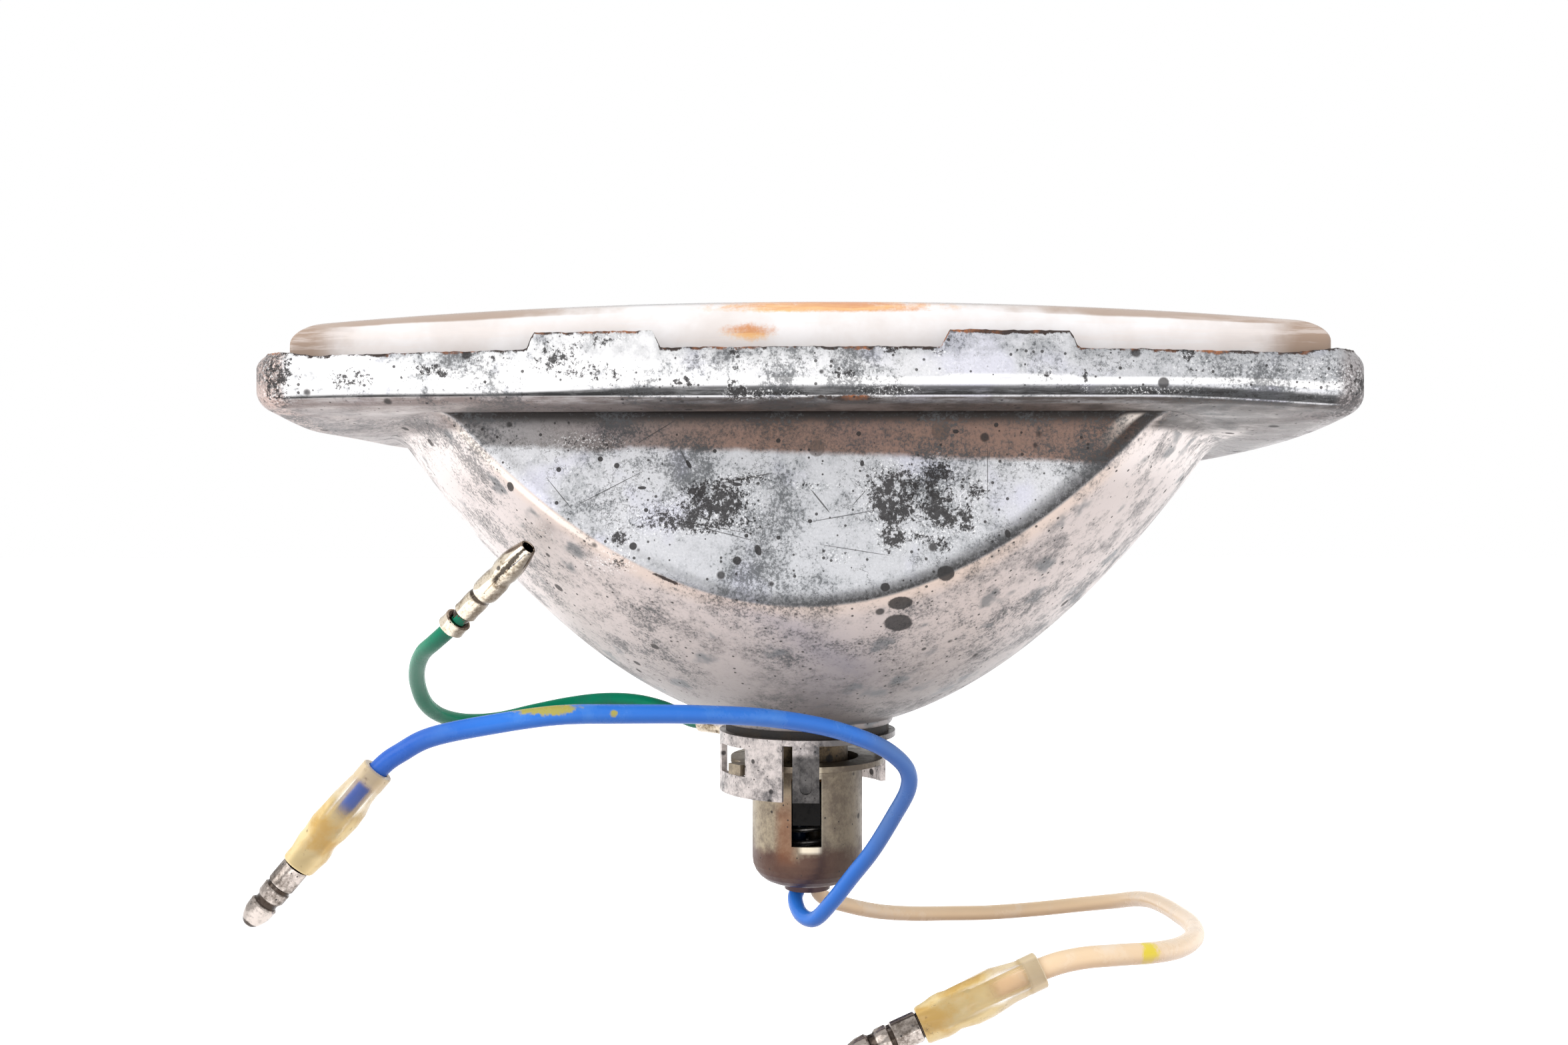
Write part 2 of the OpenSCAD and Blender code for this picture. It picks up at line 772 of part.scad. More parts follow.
module green_wire() {
    color("#1F9C7A")
        wire(concat([earth_wire_start], green_route), green_entry, green_tip, terminal_grip);
}

module green_terminal() {
    bore = wire_d / 2 + 0.1;
    end = terminal_h;
    color("#B79A6E") along(green_entry, green_tip) rotate_extrude() polygon([
        [bore, 0], [terminal_r, 0], [terminal_r, 6], [terminal_r - 0.4, 7],
        [terminal_r - 0.4, 12], [terminal_r + 0.1, 13], [terminal_r + 0.1, end - 4.5],
        [terminal_r - 0.7, end - 0.4], [terminal_r - 1, end], [0.7, end],
        [0.7, end - 3], [0, end - 3], [0, terminal_grip], [bore, terminal_grip]
    ]);
}

lens();
lens_sealant();
rim();
reflector();
bulb_seat_gasket();
bulb_bracket();
bracket_rivets();
bulb_flange();
bulb_base();
bulb_glass();
bulb_insulator();
bulb_contacts();
filament_supports();
hi_filament();
lo_filament();
lo_shield();
socket_shell();
contact_carrier();
hi_contact();
lo_contact();
contact_spring();
earth_lug();
earth_rivet();
blue_wire();
blue_sleeve();
blue_bullet();
white_wire();
white_sleeve();
white_bullet();
green_wire();
green_terminal();
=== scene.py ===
# Weathered rectangular headlight with its bulb socket and three wires.
# Lengths below are in millimetres and become metres when a mesh is made.
import math

import bmesh
import bpy
import numpy as np
from mathutils import Matrix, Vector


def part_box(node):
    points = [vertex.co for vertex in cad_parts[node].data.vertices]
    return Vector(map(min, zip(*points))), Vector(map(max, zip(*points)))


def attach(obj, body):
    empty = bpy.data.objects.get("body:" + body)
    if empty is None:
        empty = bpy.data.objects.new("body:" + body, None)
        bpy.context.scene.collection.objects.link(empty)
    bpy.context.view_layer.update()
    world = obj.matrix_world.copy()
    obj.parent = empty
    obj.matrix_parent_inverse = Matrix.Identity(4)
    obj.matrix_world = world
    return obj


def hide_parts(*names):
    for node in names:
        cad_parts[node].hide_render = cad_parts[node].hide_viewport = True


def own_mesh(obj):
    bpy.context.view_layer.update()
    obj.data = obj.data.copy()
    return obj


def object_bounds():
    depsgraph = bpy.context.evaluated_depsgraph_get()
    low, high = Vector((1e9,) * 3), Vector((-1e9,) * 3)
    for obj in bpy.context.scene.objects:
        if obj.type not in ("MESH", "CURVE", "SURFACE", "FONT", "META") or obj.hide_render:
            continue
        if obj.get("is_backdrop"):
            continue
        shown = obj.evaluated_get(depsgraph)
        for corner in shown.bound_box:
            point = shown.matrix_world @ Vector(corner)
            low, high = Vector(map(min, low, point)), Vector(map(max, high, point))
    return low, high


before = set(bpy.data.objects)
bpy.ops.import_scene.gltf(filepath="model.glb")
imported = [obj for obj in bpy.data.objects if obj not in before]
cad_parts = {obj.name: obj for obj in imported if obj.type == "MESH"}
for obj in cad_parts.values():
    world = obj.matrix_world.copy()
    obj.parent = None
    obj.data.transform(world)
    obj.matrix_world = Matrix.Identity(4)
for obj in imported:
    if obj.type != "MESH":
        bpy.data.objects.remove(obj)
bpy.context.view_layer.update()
scene = bpy.context.scene
mm = 0.001
print("stage: frame loaded")


# Camera
camera = dict(place=(4.3, -274.7, -17.0), turn=1.8, tilt=0.0, lens=33.93)
cameraData = bpy.data.cameras.new("camera")
cameraData.lens, cameraData.sensor_width = camera["lens"], 36
cameraData.clip_start, cameraData.clip_end = 0.01, 20
cameraObject = bpy.data.objects.new("camera", cameraData)
cameraObject.location = [v * mm for v in camera["place"]]
cameraObject.rotation_euler = (
    math.radians(90 + camera["tilt"]), 0, math.radians(camera["turn"]))
scene.collection.objects.link(cameraObject)
scene.camera = cameraObject


# Small tools
def hexColour(code):
    # sRGB hex to the linear colour that a shader takes
    part = [int(code[i:i + 2], 16) / 255 for i in (1, 3, 5)]
    return [v / 12.92 if v <= 0.04045 else ((v + 0.055) / 1.055) ** 2.4 for v in part] + [1]


# settings that a kind of node always takes here
usual = {"MapRange": dict(interpolation_type="SMOOTHSTEP"), "Mix": dict(data_type="RGBA")}


def addNode(tree, kind, inputs=(), out=None, **settings):
    # one node: kind may name its operation too, as in "Math ADD", and inputs are
    # values, hex colours or sockets to link, in the node's order or by name. It
    # hands back its first output, the one that out names, or "all" of them
    kind, _, operation = kind.partition(" ")
    node = tree.nodes.new("ShaderNode" + kind)
    if operation:
        node.operation = operation
    for key, value in {**usual.get(kind, {}), **settings}.items():
        setattr(node, key, value)
    if isinstance(inputs, dict):
        pairs = [(node.inputs[key], value) for key, value in inputs.items()]
    else:
        pairs = zip([socket for socket in node.inputs if socket.enabled], inputs)
    for socket, value in pairs:
        if isinstance(value, bpy.types.NodeSocket):
            tree.links.new(value, socket)
        else:
            socket.default_value = hexColour(value) if isinstance(value, str) else value
    if out is None:
        return next((socket for socket in node.outputs if socket.enabled), None)
    return node.outputs if out == "all" else node.outputs[out]


def within(tree, *parts):
    # a mask, the product of its parts. A part is a socket or a range: a value, where
    # its smooth step starts and ends, and the two levels of the mask if not 0 and 1
    mask = None
    for part in parts:
        level = addNode(tree, "MapRange", part) if isinstance(part, tuple) else part
        mask = addNode(tree, "Math MULTIPLY", (mask, level)) if mask else level
    return mask


def paint(tree, colour, *coats):
    # coats over a colour: each is a tone and the parts of the mask that it stays in
    for tone, *parts in coats:
        colour = addNode(tree, "Mix", (within(tree, *parts), colour, tone))
    return colour


def apart(tree, a, b):
    # how far two values are from each other
    return addNode(tree, "Math ABSOLUTE", [addNode(tree, "Math SUBTRACT", (a, b))])


def newMaterial(name):
    material = bpy.data.materials.new(name)
    material.use_nodes = True
    material.node_tree.nodes.clear()
    return material, material.node_tree


def millimetres(tree, stretch=(1, 1, 1), turn=(0, 0, 0)):
    # Object coordinates scaled so that one unit is a millimetre
    return addNode(tree, "Mapping", {
        "Vector": addNode(tree, "TexCoord", out="Object"),
        "Scale": [1 / mm / s for s in stretch], "Rotation": [math.radians(a) for a in turn]})


def readMarks(tree):
    # the four numbers that gridMesh kept at each point
    mark = addNode(tree, "VertexColor", out="all", layer_name="marks")
    return [*addNode(tree, "SeparateColor", [mark["Color"]], "all"), mark["Alpha"]]


def gridMesh(name, grid, wrapRows, wrapColumns, material, sharp, marks=None):
    # grid is rows x columns x 3 in millimetres; quads join neighbours, and
    # wrapped directions close on themselves
    rows, columns = grid.shape[:2]
    index = np.arange(rows * columns).reshape(rows, columns)
    if wrapRows:
        index = np.vstack([index, index[:1]])
    if wrapColumns:
        index = np.hstack([index, index[:, :1]])
    quads = np.stack([index[:-1, :-1], index[:-1, 1:], index[1:, 1:], index[1:, :-1]], -1)
    mesh = bpy.data.meshes.new(name)
    mesh.from_pydata((grid.reshape(-1, 3) * mm).tolist(), [], quads.reshape(-1, 4).tolist())
    if marks is not None:
        layer = mesh.attributes.new("marks", "FLOAT_COLOR", "POINT")
        layer.data.foreach_set("color", marks.reshape(-1).astype(np.float32))
    work = bmesh.new()
    work.from_mesh(mesh)
    bmesh.ops.remove_doubles(work, verts=work.verts, dist=1e-7)
    bmesh.ops.recalc_face_normals(work, faces=work.faces)
    work.to_mesh(mesh)
    work.free()
    mesh.shade_smooth()
    mesh.set_sharp_from_angle(angle=math.radians(sharp))
    mesh.materials.append(material)
    piece = bpy.data.objects.new(name, mesh)
    scene.collection.objects.link(piece)
    return piece


def smoothPath(points):
    # Catmull-Rom curve through the points, in eight steps from each to the next
    p = np.array(points, float)
    p = np.vstack([2 * p[0] - p[1], p, 2 * p[-1] - p[-2]])
    t = np.linspace(0, 1, 8, endpoint=False)[None, :, None]
    a, b, c, d = p[:-3, None], p[1:-2, None], p[2:-1, None], p[3:, None]
    curve = 0.5 * (2 * b + (c - a) * t + (2 * a - 5 * b + 4 * c - d) * t ** 2
                   + (3 * b - a - 3 * c + d) * t ** 3)
    return np.vstack([curve.reshape(-1, 3), p[-2:-1]])


def axisFrame(start, towards):
    # unit vectors along start -> towards, and two across it
    along = np.array(towards, float) - np.array(start, float)
    along /= np.linalg.norm(along)
    side = np.cross(along, (0, 0, 1))
    side /= np.linalg.norm(side)
    return along, side, np.cross(side, along)


def step(x, low, high):
    # smooth step from 0 at low to 1 at high
    t = np.clip((x - low) / (high - low), 0, 1)
    return t * t * (3 - 2 * t)


def hump(x, at, reach):
    # 1 at a place, falling softly to both sides
    return np.exp(-((x - at) / reach) ** 2)


turnedSides = 64


def turnedPiece(name, route, profile, material, shape, shadedSide=5.2):
    # a closed profile of (distance, radius) carried round the axis from a wire's
    # entry to its tip; shape alters the radius by distance and angle. Its marks
    # hold how hollow a place is, as the mean radius within a millimetre less the
    # radius, then which side it is on and how far along
    profile = np.array(profile, float)
    angle = np.linspace(0, 2 * math.pi, turnedSides, endpoint=False)[None, :]
    t, r = profile[:, :1], profile[:, 1:2]
    radius = shape(t, r, angle)
    along, side, up = axisFrame(route["entry"], route["tip"])
    grid = (np.array(route["entry"]) + along * t[..., None]
            + side * (radius * np.cos(angle))[..., None]
            + up * (radius * np.sin(angle))[..., None])
    near = hump(t, t.T, 1) * (r > 1) * (r.T > 1)
    hollow = near @ radius / np.maximum(near.sum(1, keepdims=True), 1e-6) - radius
    hollow = np.clip(hollow / 0.3, 0, 1) * (r > 1)
    marks = np.stack([hollow, 0.5 + 0.5 * np.cos(angle - shadedSide) + 0 * hollow,
                      t / t.max() + 0 * hollow, 0 * hollow], -1)
    return gridMesh(name, grid, True, True, material, 35, marks)


# Wires
# A route runs from the carrier out to where its sleeve or terminal grips it: points,
# entry and tip of what ends it, and how far in the wire reaches there.
wire = dict(diameter=2.8, roundness=7)
routes = {
    "blue": dict(
        points=[
            (-1.6, 0, -70.3), (-1.6, 0, -77), (-1.6, 0, -84), (-2.2, -2, -86.5), (-1, -6, -88.3),
            (1.5, -10, -88), (4.5, -14, -84), (8, -18, -78.5), (11.5, -22, -73), (15, -25, -66.5),
            (17.2, -28, -61.5), (17, -30, -58), (14.5, -32, -55), (10.5, -34.5, -52.5),
            (3.5, -40, -49.5), (-5.5, -48, -47), (-15, -56, -45.5), (-25.5, -63.5, -44.5),
            (-34, -69, -44), (-43, -72, -45), (-50.5, -73, -46.5), (-54.5, -73.2, -48.5)],
        entry=(-57.8, -73.5, -51), tip=(-75.2, -75, -71.7), grip=9.3,
        exit=(-1.6, 0, -84.8), body="socket", length=0.169),
    "white": dict(
        points=[
            (1.6, 0, -70.3), (1.6, 0, -77), (1.6, 0, -84), (3, 1.5, -87), (7, 4, -89),
            (13, 9, -91.5), (20, 15, -93.5), (28, 20, -94.7), (36, 22, -95), (45, 21, -94),
            (53, 17, -92), (58.5, 10, -89.5), (61, 2, -87), (62, -7, -85), (62.3, -17, -83.5),
            (62, -28, -82), (61, -40, -80.2), (59, -51, -78.6), (56, -61, -77), (52, -70, -75.5),
            (47, -77.5, -74), (41.5, -81.5, -73.2), (36, -84, -73)],
        entry=(31, -86, -73.8), tip=(8, -89, -83.6), grip=9.3,
        exit=(1.6, 0, -84.8), body="socket", length=0.206),
    "green": dict(
        points=[
            (-21.1, 14.7, -56.1), (-23.5, 16.5, -55.9), (-29, 19.5, -54), (-35, 21.5, -52.9),
            (-41.5, 22.3, -52.8), (-48, 21.7, -53.5), (-54.5, 18, -54.5), (-60.5, 12, -55.4),
            (-65, 5.5, -54.9), (-67.8, -2, -53), (-68.8, -9.5, -49.9), (-68.3, -16.5, -45.8),
            (-66.5, -23.5, -42), (-63.7, -30, -38.8), (-60.3, -35, -36.5)],
        entry=(-57, -38, -34), tip=(-42.4, -46, -20.5), grip=6.5,
        exit=(-21.1, 14.7, -56.1), body="housing", length=0.112),
}


def vinylMaterial(name, base, dusty, below, smear=(), smearTone="#C6B92E", fadedAndShaded=(), gloss=0.25):
    # extruded PVC insulation: a soft satin gloss, handled and dusty, so its
    # colour pales in patches and small dark scuffs sit on it
    material, tree = newMaterial(name)
    where = millimetres(tree)
    dust = within(tree, (addNode(tree, "TexNoise", (where, 1 / 9, 5, 0.65)), 0.48, 0.72))
    colour = paint(tree, base, (dusty, dust))
    x, y, z = addNode(tree, "SeparateXYZ", [where], "all")
    # paler tones here are dust, darker ones are painted shade
    for low, high, tone in fadedAndShaded:
        colour = paint(tree, colour, (tone, (x, low, high, 0, 0.6)))
    colour = paint(tree, colour,
        ("#4A4036", (addNode(tree, "TexNoise", (where, 1 / 1.3, 7, 0.75)), 0.66, 0.76, 0, 0.7)))
    for place, reach in smear:
        away = addNode(tree, "VectorMath SUBTRACT", (where, place))
        away = addNode(tree, "VectorMath MULTIPLY", (away, [1 / r for r in reach]))
        away = addNode(tree, "VectorMath LENGTH", [away])
        ragged = addNode(tree, "Math MULTIPLY_ADD", (
            addNode(tree, "TexNoise", (where, 1 / 1.4, 6, 0.7)), 1.6, away))
        colour = paint(tree, colour, (smearTone, (ragged, 1.75, 1.35, 0, 0.9)))
    # painted shade: the underside is darker, and the end inside the socket is near black
    up = addNode(tree, "SeparateXYZ", [addNode(tree, "TexCoord", out="Normal")], "Z")
    colour = paint(tree, colour,
        (below, (up, 0.3, -0.75, 0, 0.6)),
        ("#0B0A0A",
            (addNode(tree, "Math ABSOLUTE", [x]), 9, 8), (z, -84.5, -83), (y, -8, -7, 0, 0.93)))
    height = addNode(tree, "TexNoise", (where, 1 / 1.2, 5, 0.6))
    shader = addNode(tree, "BsdfPrincipled", {
        "Base Color": colour, "Roughness": within(tree, (dust, 0, 1, 0.26, 0.36)),
        "IOR": 1.53, "Specular IOR Level": gloss,
        "Normal": addNode(tree, "Bump", {"Height": height, "Distance": 0.05 * mm})})
    addNode(tree, "OutputMaterial", [shader])
    return material


# Ranges of x give the tone a wire takes there, paler with dust and darker as painted shade; smear
# places and reaches are paint that rubbed off on a wire
vinyls = {
    "blue": vinylMaterial("blueExtrudedVinyl", "#3684EC", "#5698F0", "#1D4FA0",
                          # the blue wire's left part is darker as painted shade
                          fadedAndShaded=[(8, 14, "#6A83A8"), (-40, -54, "#1B4AB4")],
                          smear=[((-35.6, -69.8, -42.9), (6.0, 4, 1.1)),
                                 ((-26.6, -65.6, -44.2), (0.8, 0.8, 0.7))]),
    "white": vinylMaterial("creamExtrudedVinyl", "#FADDB6", "#FAE7CE", "#B59678",
                           smear=[((46.2, -79.6, -73.4), (2.3, 2.2, 2.2))], smearTone="#F2DC1C"),
    "green": vinylMaterial("greenExtrudedVinyl", "#0A8C68", "#267A64", "#39584F", gloss=0.06),
}


def wireCurve(name, points, material):
    # a round tube on one open spline through the smoothed route
    path = smoothPath(points)
    data = bpy.data.curves.new(name, "CURVE")
    data.dimensions = "3D"
    spline = data.splines.new("POLY")
    spline.points.add(len(path) - 1)
    spline.points.foreach_set("co", np.hstack([path * mm, np.ones((len(path), 1))]).ravel())
    data.bevel_depth = wire["diameter"] / 2 * mm
    data.bevel_resolution = wire["roundness"]
    data.use_fill_caps = True
    data.materials.append(material)
    piece = bpy.data.objects.new(name, data)
    scene.collection.objects.link(piece)
    return piece


wirePieces = {}
for colourName, route in routes.items():
    entry = np.array(route["entry"])
    gripped = entry + axisFrame(entry, route["tip"])[0] * route["grip"]
    points = [*route["points"], entry, gripped]
    wirePieces[colourName] = wireCurve(colourName + "WirePiece", points, vinyls[colourName])
    lengths = np.linalg.norm(np.diff(smoothPath(points), axis=0), axis=1)
    print("wire", colourName, "length", round(float(lengths.sum()), 1))
print("stage: wires made")


# Metals
def weatheredMetal(name, clean, mottled, lumps=7.0, cover=0.5, rough=(0.28, 0.5), metallic=0.9,
                   cell=4.0, pitShare=0.3, speckle=0.66, depth=0.035, layers=None,
                   scratched=None):
    # plated or aluminised sheet that has stood outdoors: bright metal dulls in
    # soft grey clouds, with crowded specks and a few round pits. Sizes are in
    # millimetres, and cover, pitShare and speckle say how much of it is marked
    material, tree = newMaterial(name)
    where = millimetres(tree)
    clouds = addNode(tree, "Math MULTIPLY_ADD", (
        addNode(tree, "TexNoise", (where, 1 / (lumps / 5), 5, 0.7)), 0.38,
        within(tree, addNode(tree, "TexNoise", (where, 1 / lumps, 6, 0.62)), 0.62)))
    fine = addNode(tree, "TexNoise", (where, 1 / 0.5, 5, 0.75))
    dull = within(tree,
        (addNode(tree, "Math MULTIPLY_ADD", (fine, 0.3, clouds)), cover + 0.05, cover + 0.31))
    colour = paint(tree, clean, (mottled, dull))
    masks = dict(where=where, clouds=clouds, dull=dull, fine=fine, rust=None, dark=None)
    if layers:
        colour = layers(tree, colour, masks)
    # specks crowd where the clouds are dull
    crowd = addNode(tree, "Math MULTIPLY_ADD", (clouds, 0.4, within(tree, fine, 0.55)))
    crowd = addNode(tree, "Math MULTIPLY_ADD", (
        addNode(tree, "TexNoise", (where, 1 / (lumps * 2), 3, 0.5)), 0.3, crowd))
    specks = within(tree, (crowd, speckle, speckle + 0.1, 0, 0.72))
    colour = paint(tree, colour, ("#4B4D4F", specks))
    # a cell has a round pit where its own random number allows it
    dark = masks["dark"]
    for size, share in ((cell, pitShare), (cell / 3.6, pitShare * 1.4)):
        pit = addNode(tree, "TexVoronoi", (where, 1 / size), "all")
        chance = addNode(tree, "SeparateColor", [pit["Color"]])
        reach = within(tree, (chance, 1 - share, 1, 0.06, 0.22))
        pitted = within(tree,
            (addNode(tree, "Math SUBTRACT", (pit["Distance"], reach)), 0.04, -0.04),
            (chance, 1 - share, 1.002 - share, 0, 0.85))
        dark = addNode(tree, "Math MAXIMUM", (dark, pitted)) if dark else pitted
    colour = paint(tree, colour, ("#1D1A1A", dark))
    worn = addNode(tree, "Math MAXIMUM", (dark, masks["rust"])) if masks["rust"] else dark
    height = addNode(tree, "Math SUBTRACT", (
        fine, addNode(tree, "Math MULTIPLY_ADD", (specks, 0.5, within(tree, dark, 0.7)))))
    normal = addNode(tree, "Bump", {"Height": height, "Distance": depth * mm})
    if scratched:
        colour, normal = scratched(tree, colour, normal, masks)
    roughness = addNode(tree, "Math MULTIPLY_ADD", (worn, 0.3, within(tree, (dull, 0, 1, *rough))))
    metal = within(tree, addNode(tree, "Math SUBTRACT", (1.0, worn)), metallic)
    shader = addNode(tree, "BsdfPrincipled", {
        "Base Color": colour, "Roughness": roughness, "Metallic": metal, "Normal": normal})
    addNode(tree, "OutputMaterial", [shader])
    return material


def flecks(tree, where, ragged, places):
    # ellipses seen along y: centre x, z, reach x, z in millimetres and turn in
    # degrees. A long thin one is a scratch
    mask = None
    for cx, cz, rx, rz, turn in places:
        local = addNode(tree, "Mapping", {
            "Vector": where, "Location": (cx, 0, cz), "Rotation": (0, math.radians(-turn), 0),
            "Scale": (2 * rx, 1e6, 2 * rz)}, vector_type="TEXTURE")
        near = addNode(tree, "TexGradient", [local], "Fac", gradient_type="SPHERICAL")
        mask = addNode(tree, "Math MAXIMUM", (mask, near)) if mask else near
    return within(tree, (addNode(tree, "Math SUBTRACT", (mask, ragged)), 0.36, 0.46))


flatMarks = dict(
    pits=[
        (-44.9, -11.5, 0.6, 0.75, 0), (-9.9, -22.8, 0.66, 0.66, 0), (-30.8, -7.3, 0.42, 0.4, 0),
        (-28.3, -8.3, 0.42, 0.4, 30), (-37.2, -8.9, 0.4, 0.4, 0), (-13.3, -6.1, 0.3, 0.3, 0),
        (-16.7, -12.2, 0.6, 0.48, 0), (-11.9, -11.5, 0.5, 0.3, -20), (-9.9, -11.2, 0.8, 0.26, 0),
        (-21.5, -16.5, 0.38, 0.36, 0), (-23.8, -15.1, 0.34, 0.34, 0),
        (-24.4, -11.7, 0.66, 0.26, 0), (-25.8, -20.6, 0.6, 0.6, 0), (-6.7, -21.2, 0.5, 0.9, 20),
        (-17.3, -8.1, 0.3, 0.7, 30), (-8.5, -19.0, 0.3, 0.3, 0), (-37.5, -14.0, 0.3, 0.3, 0),
        (8.6, -3.5, 0.36, 0.36, 0), (-3.6, -4.5, 0.34, 0.34, 0), (29.4, -2.2, 0.34, 0.34, 0),
        (23.3, -3.2, 0.46, 0.3, 0), (9.1, -8.0, 0.3, 0.46, 0), (1.2, -16.8, 0.32, 0.32, 0),
        (-3.6, -19.3, 0.32, 0.32, 0), (31.1, -18.7, 0.42, 0.6, 20), (21.8, -24.7, 1.3, 1.2, 0),
        (12.6, -26.8, 0.72, 0.66, 0), (15.0, -29.3, 1.9, 1.05, 4), (14.8, -32.5, 2.3, 1.4, 0)],
    stains=[(2.2, -5.7, 1.3, 1.25, 0), (21.0, -3.1, 1.4, 1.6, 0)],
    scratches=[
        (-29.6, -11.9, 6.0, 0.07, 27), (-22.1, -3.1, 3.6, 0.08, 31),
        (-37.1, -12.6, 3.2, 0.07, -51), (-17.9, -7.2, 1.5, 0.12, -63), (6.3, -16.0, 5.2, 0.07, 10),
        (8.8, -13.1, 1.9, 0.07, 48), (8.1, -21.2, 5.6, 0.06, -9), (2.8, -13.8, 2.3, 0.12, -51),
        (-8.7, -10.3, 4.2, 0.16, 11), (28.1, -9.5, 0.06, 4.2, 0), (-14, -17.6, 6, 0.08, -10),
        (-12, -18.6, 5, 0.07, -14)])


def pressingLayers(tree, colour, masks):
    # marks hold, by channel: distance across the flat's edge (0.5 is the edge, a
    # tenth is a millimetre, less is outside), bare patches, rust, and the way
    # round the bend (0 wall, 0.2 to 0.8 bend, 1 underneath)
    where, fine, dull, clouds = masks["where"], masks["fine"], masks["dull"], masks["clouds"]
    edge = within(tree, addNode(tree, "TexNoise", (where, 1 / 0.8, 4, 0.65)), 0.2)
    pits = flecks(tree, where, edge, flatMarks["pits"])
    stains = flecks(tree, where, edge, flatMarks["stains"])
    scratches = flecks(tree, where, edge, flatMarks["scratches"])
    across, blotch, rusty, bend = readMarks(tree)
    x, y, z = addNode(tree, "SeparateXYZ", [where], "all")
    # the plating has a faint lavender bloom, a fine grain and hairline cracks
    colour = paint(tree, colour,
        ("#D4D4EA", (addNode(tree, "TexNoise", (where, 1 / 12, 3, 0.5)), 0.52, 0.66, 0, 0.42)))
    grain = addNode(tree, "TexNoise", (where, 1 / 0.35, 3, 0.7))
    colour = paint(tree, colour,
        ("#8D9192", (grain, 0.5, 0.75, 0, 0.4)),
        ("#FFFFFF", (grain, 0.44, 0.3, 0, 0.45)))
    crackle = addNode(tree, "TexNoise", (where, 1 / 5, 7, 0.72))
    crack = within(tree,
        (apart(tree, crackle, 0.5), 0.011, 0.004),
        (addNode(tree, "TexNoise", (where, 1 / 8, 2, 0.5)), 0.5, 0.62, 0, 0.75))
    # the bowl has a warm cast with soft grey spots, most of them low down; painted light lightens
    # its left and its upper sides by the gutter, and painted shade adds to the dark low down
    warm = paint(tree, "#C9BEBA",
        ("#817C7A", dull, (x, -58, -12, 0.6, 1)),
        # painted light: lighter towards the left
        ("#E8DDDA", (x, -30, -56, 0, 0.6)),
        # darker low down, partly spots and partly painted shade
        ("#656262", (z, -28, -50, 0, 0.74)),
        ("#E6CDB8", (across, 0.2, 0.45, 0, 0.4), (z, -36, -26)),
        # painted light on the upper sides by the gutter
        ("#F1E8E4", (addNode(tree, "Math ABSOLUTE", [x]), 42, 50), (z, -12, -6, 0, 0.75)),
        ("#8F8988", (clouds, 0.47, 0.58, 0, 0.62), (x, 14, 46)))
    warp = addNode(tree, "TexNoise", (where, 1 / 3), "Color")
    cell = addNode(tree, "TexVoronoi", (
        addNode(tree, "VectorMath MULTIPLY_ADD", (warp, (5, 5, 5), where)), 1 / 5.5), "all")
    chance = addNode(tree, "SeparateColor", [cell["Color"]], "Green")
    chance = addNode(tree, "Math ADD", (
        chance,
        addNode(tree, "Math ADD", (
            within(tree, (z, -22, -50, 0, 0.22)), within(tree, (x, -20, 54, 0.02, 0.2))))))
    spot = addNode(tree, "Math SUBTRACT", (
        cell["Distance"], within(tree, (chance, 0.53, 1.1, -0.1, 0.34))))
    warm = paint(tree, warm, ("#666A6D", (spot, 0.2, -0.1), (chance, 0.53, 0.62, 0, 0.8)))
    # duller in the middle of the near flat, cracked all over, and white on the wall's left as a
    # painted reflection of bright light
    colour = paint(tree, colour,
        ("#8C9094", (x, -40, -8, 0, 0.3), (x, 46, 18), (z, -1, -4)),
        ("#3B3C3D", crack),
        ("#FFFFFF", (z, 0, 1), (x, 44, -45, 0, 0.87), (clouds, 0.58, 0.5, 0.3, 1)))
    # painted shade on the wall towards the right and on the tabs
    shady = within(tree, (z, 2.6, 3.4), (x, 10, 70, 0, 0.36))
    tabs = within(tree, (z, 5, 8), (clouds, 0.4, 0.54, 0.1, 0.42))
    colour = paint(tree, colour,
        ("#85888B", addNode(tree, "Math MAXIMUM", (shady, tabs))),
        (warm, (across, 0.53, 0.48)))
    # painted shade and dark reflection under the rim on the near flat: brown, black at the top,
    # soft below
    low = addNode(tree, "Math ADD", (
        addNode(tree, "Math MULTIPLY_ADD", (x, 0.034, z)),
        within(tree, clouds, (x, -44, -16, 6.5, 2.4))))
    onFlat = within(tree, (across, 0.5, 0.56), (y, -49, -49.6), (y, -54.5, -53))
    soft = within(tree, (x, -44, -16, -4.6, -5.8))
    underRimShade = within(tree, onFlat,
        (addNode(tree, "Math SUBTRACT", (low, soft)), 0, 1.2, 0, 0.93), (x, -50, -20, 0.8, 1))
    tone = paint(tree, "#7B7674",
        ("#80604F", (x, -46, -4)),
        ("#3F3632", (addNode(tree, "Math ADD", (clouds, fine)), 0.85, 1.2)))
    colour = paint(tree, colour, (tone, underRimShade), ("#1B1512", onFlat, (z, -3.1, -0.7)))
    # round stains and thin scratches on the near flat
    front = within(tree, (y, -24, -30))
    colour = paint(tree, colour,
        ("#4C413B", stains, front, 0.62),
        ("#2E2A29", scratches, front, 0.8))
    # painted shade just inside the flat's edge on the right and along the bottom, and a painted
    # highlight line just outside it on the left and further in at the far right
    below = within(tree, (y, -44, -46), (z, -0.3, -1.0))
    colour = paint(tree, colour,
        ("#252322",
            (across, 0.47, 0.53), (across, 0.78, 0.54),
            (addNode(tree, "Math MULTIPLY_ADD", (clouds, 20, x)), -30, 22, 0, 0.97),
            (fine, 0.25, 0.6, 0.75, 1), below))
    outside = within(tree, (across, 0.36, 0.42), (across, 0.5, 0.46), (x, -24, -40, 0, 0.85))
    lit = within(tree, (across, 0.63, 0.68), (across, 0.82, 0.74), (x, 44, 52, 0, 0.75))
    bright = addNode(tree, "Math MAXIMUM", (outside, lit))
    colour = paint(tree, colour, ("#FFF4EA", bright, below))
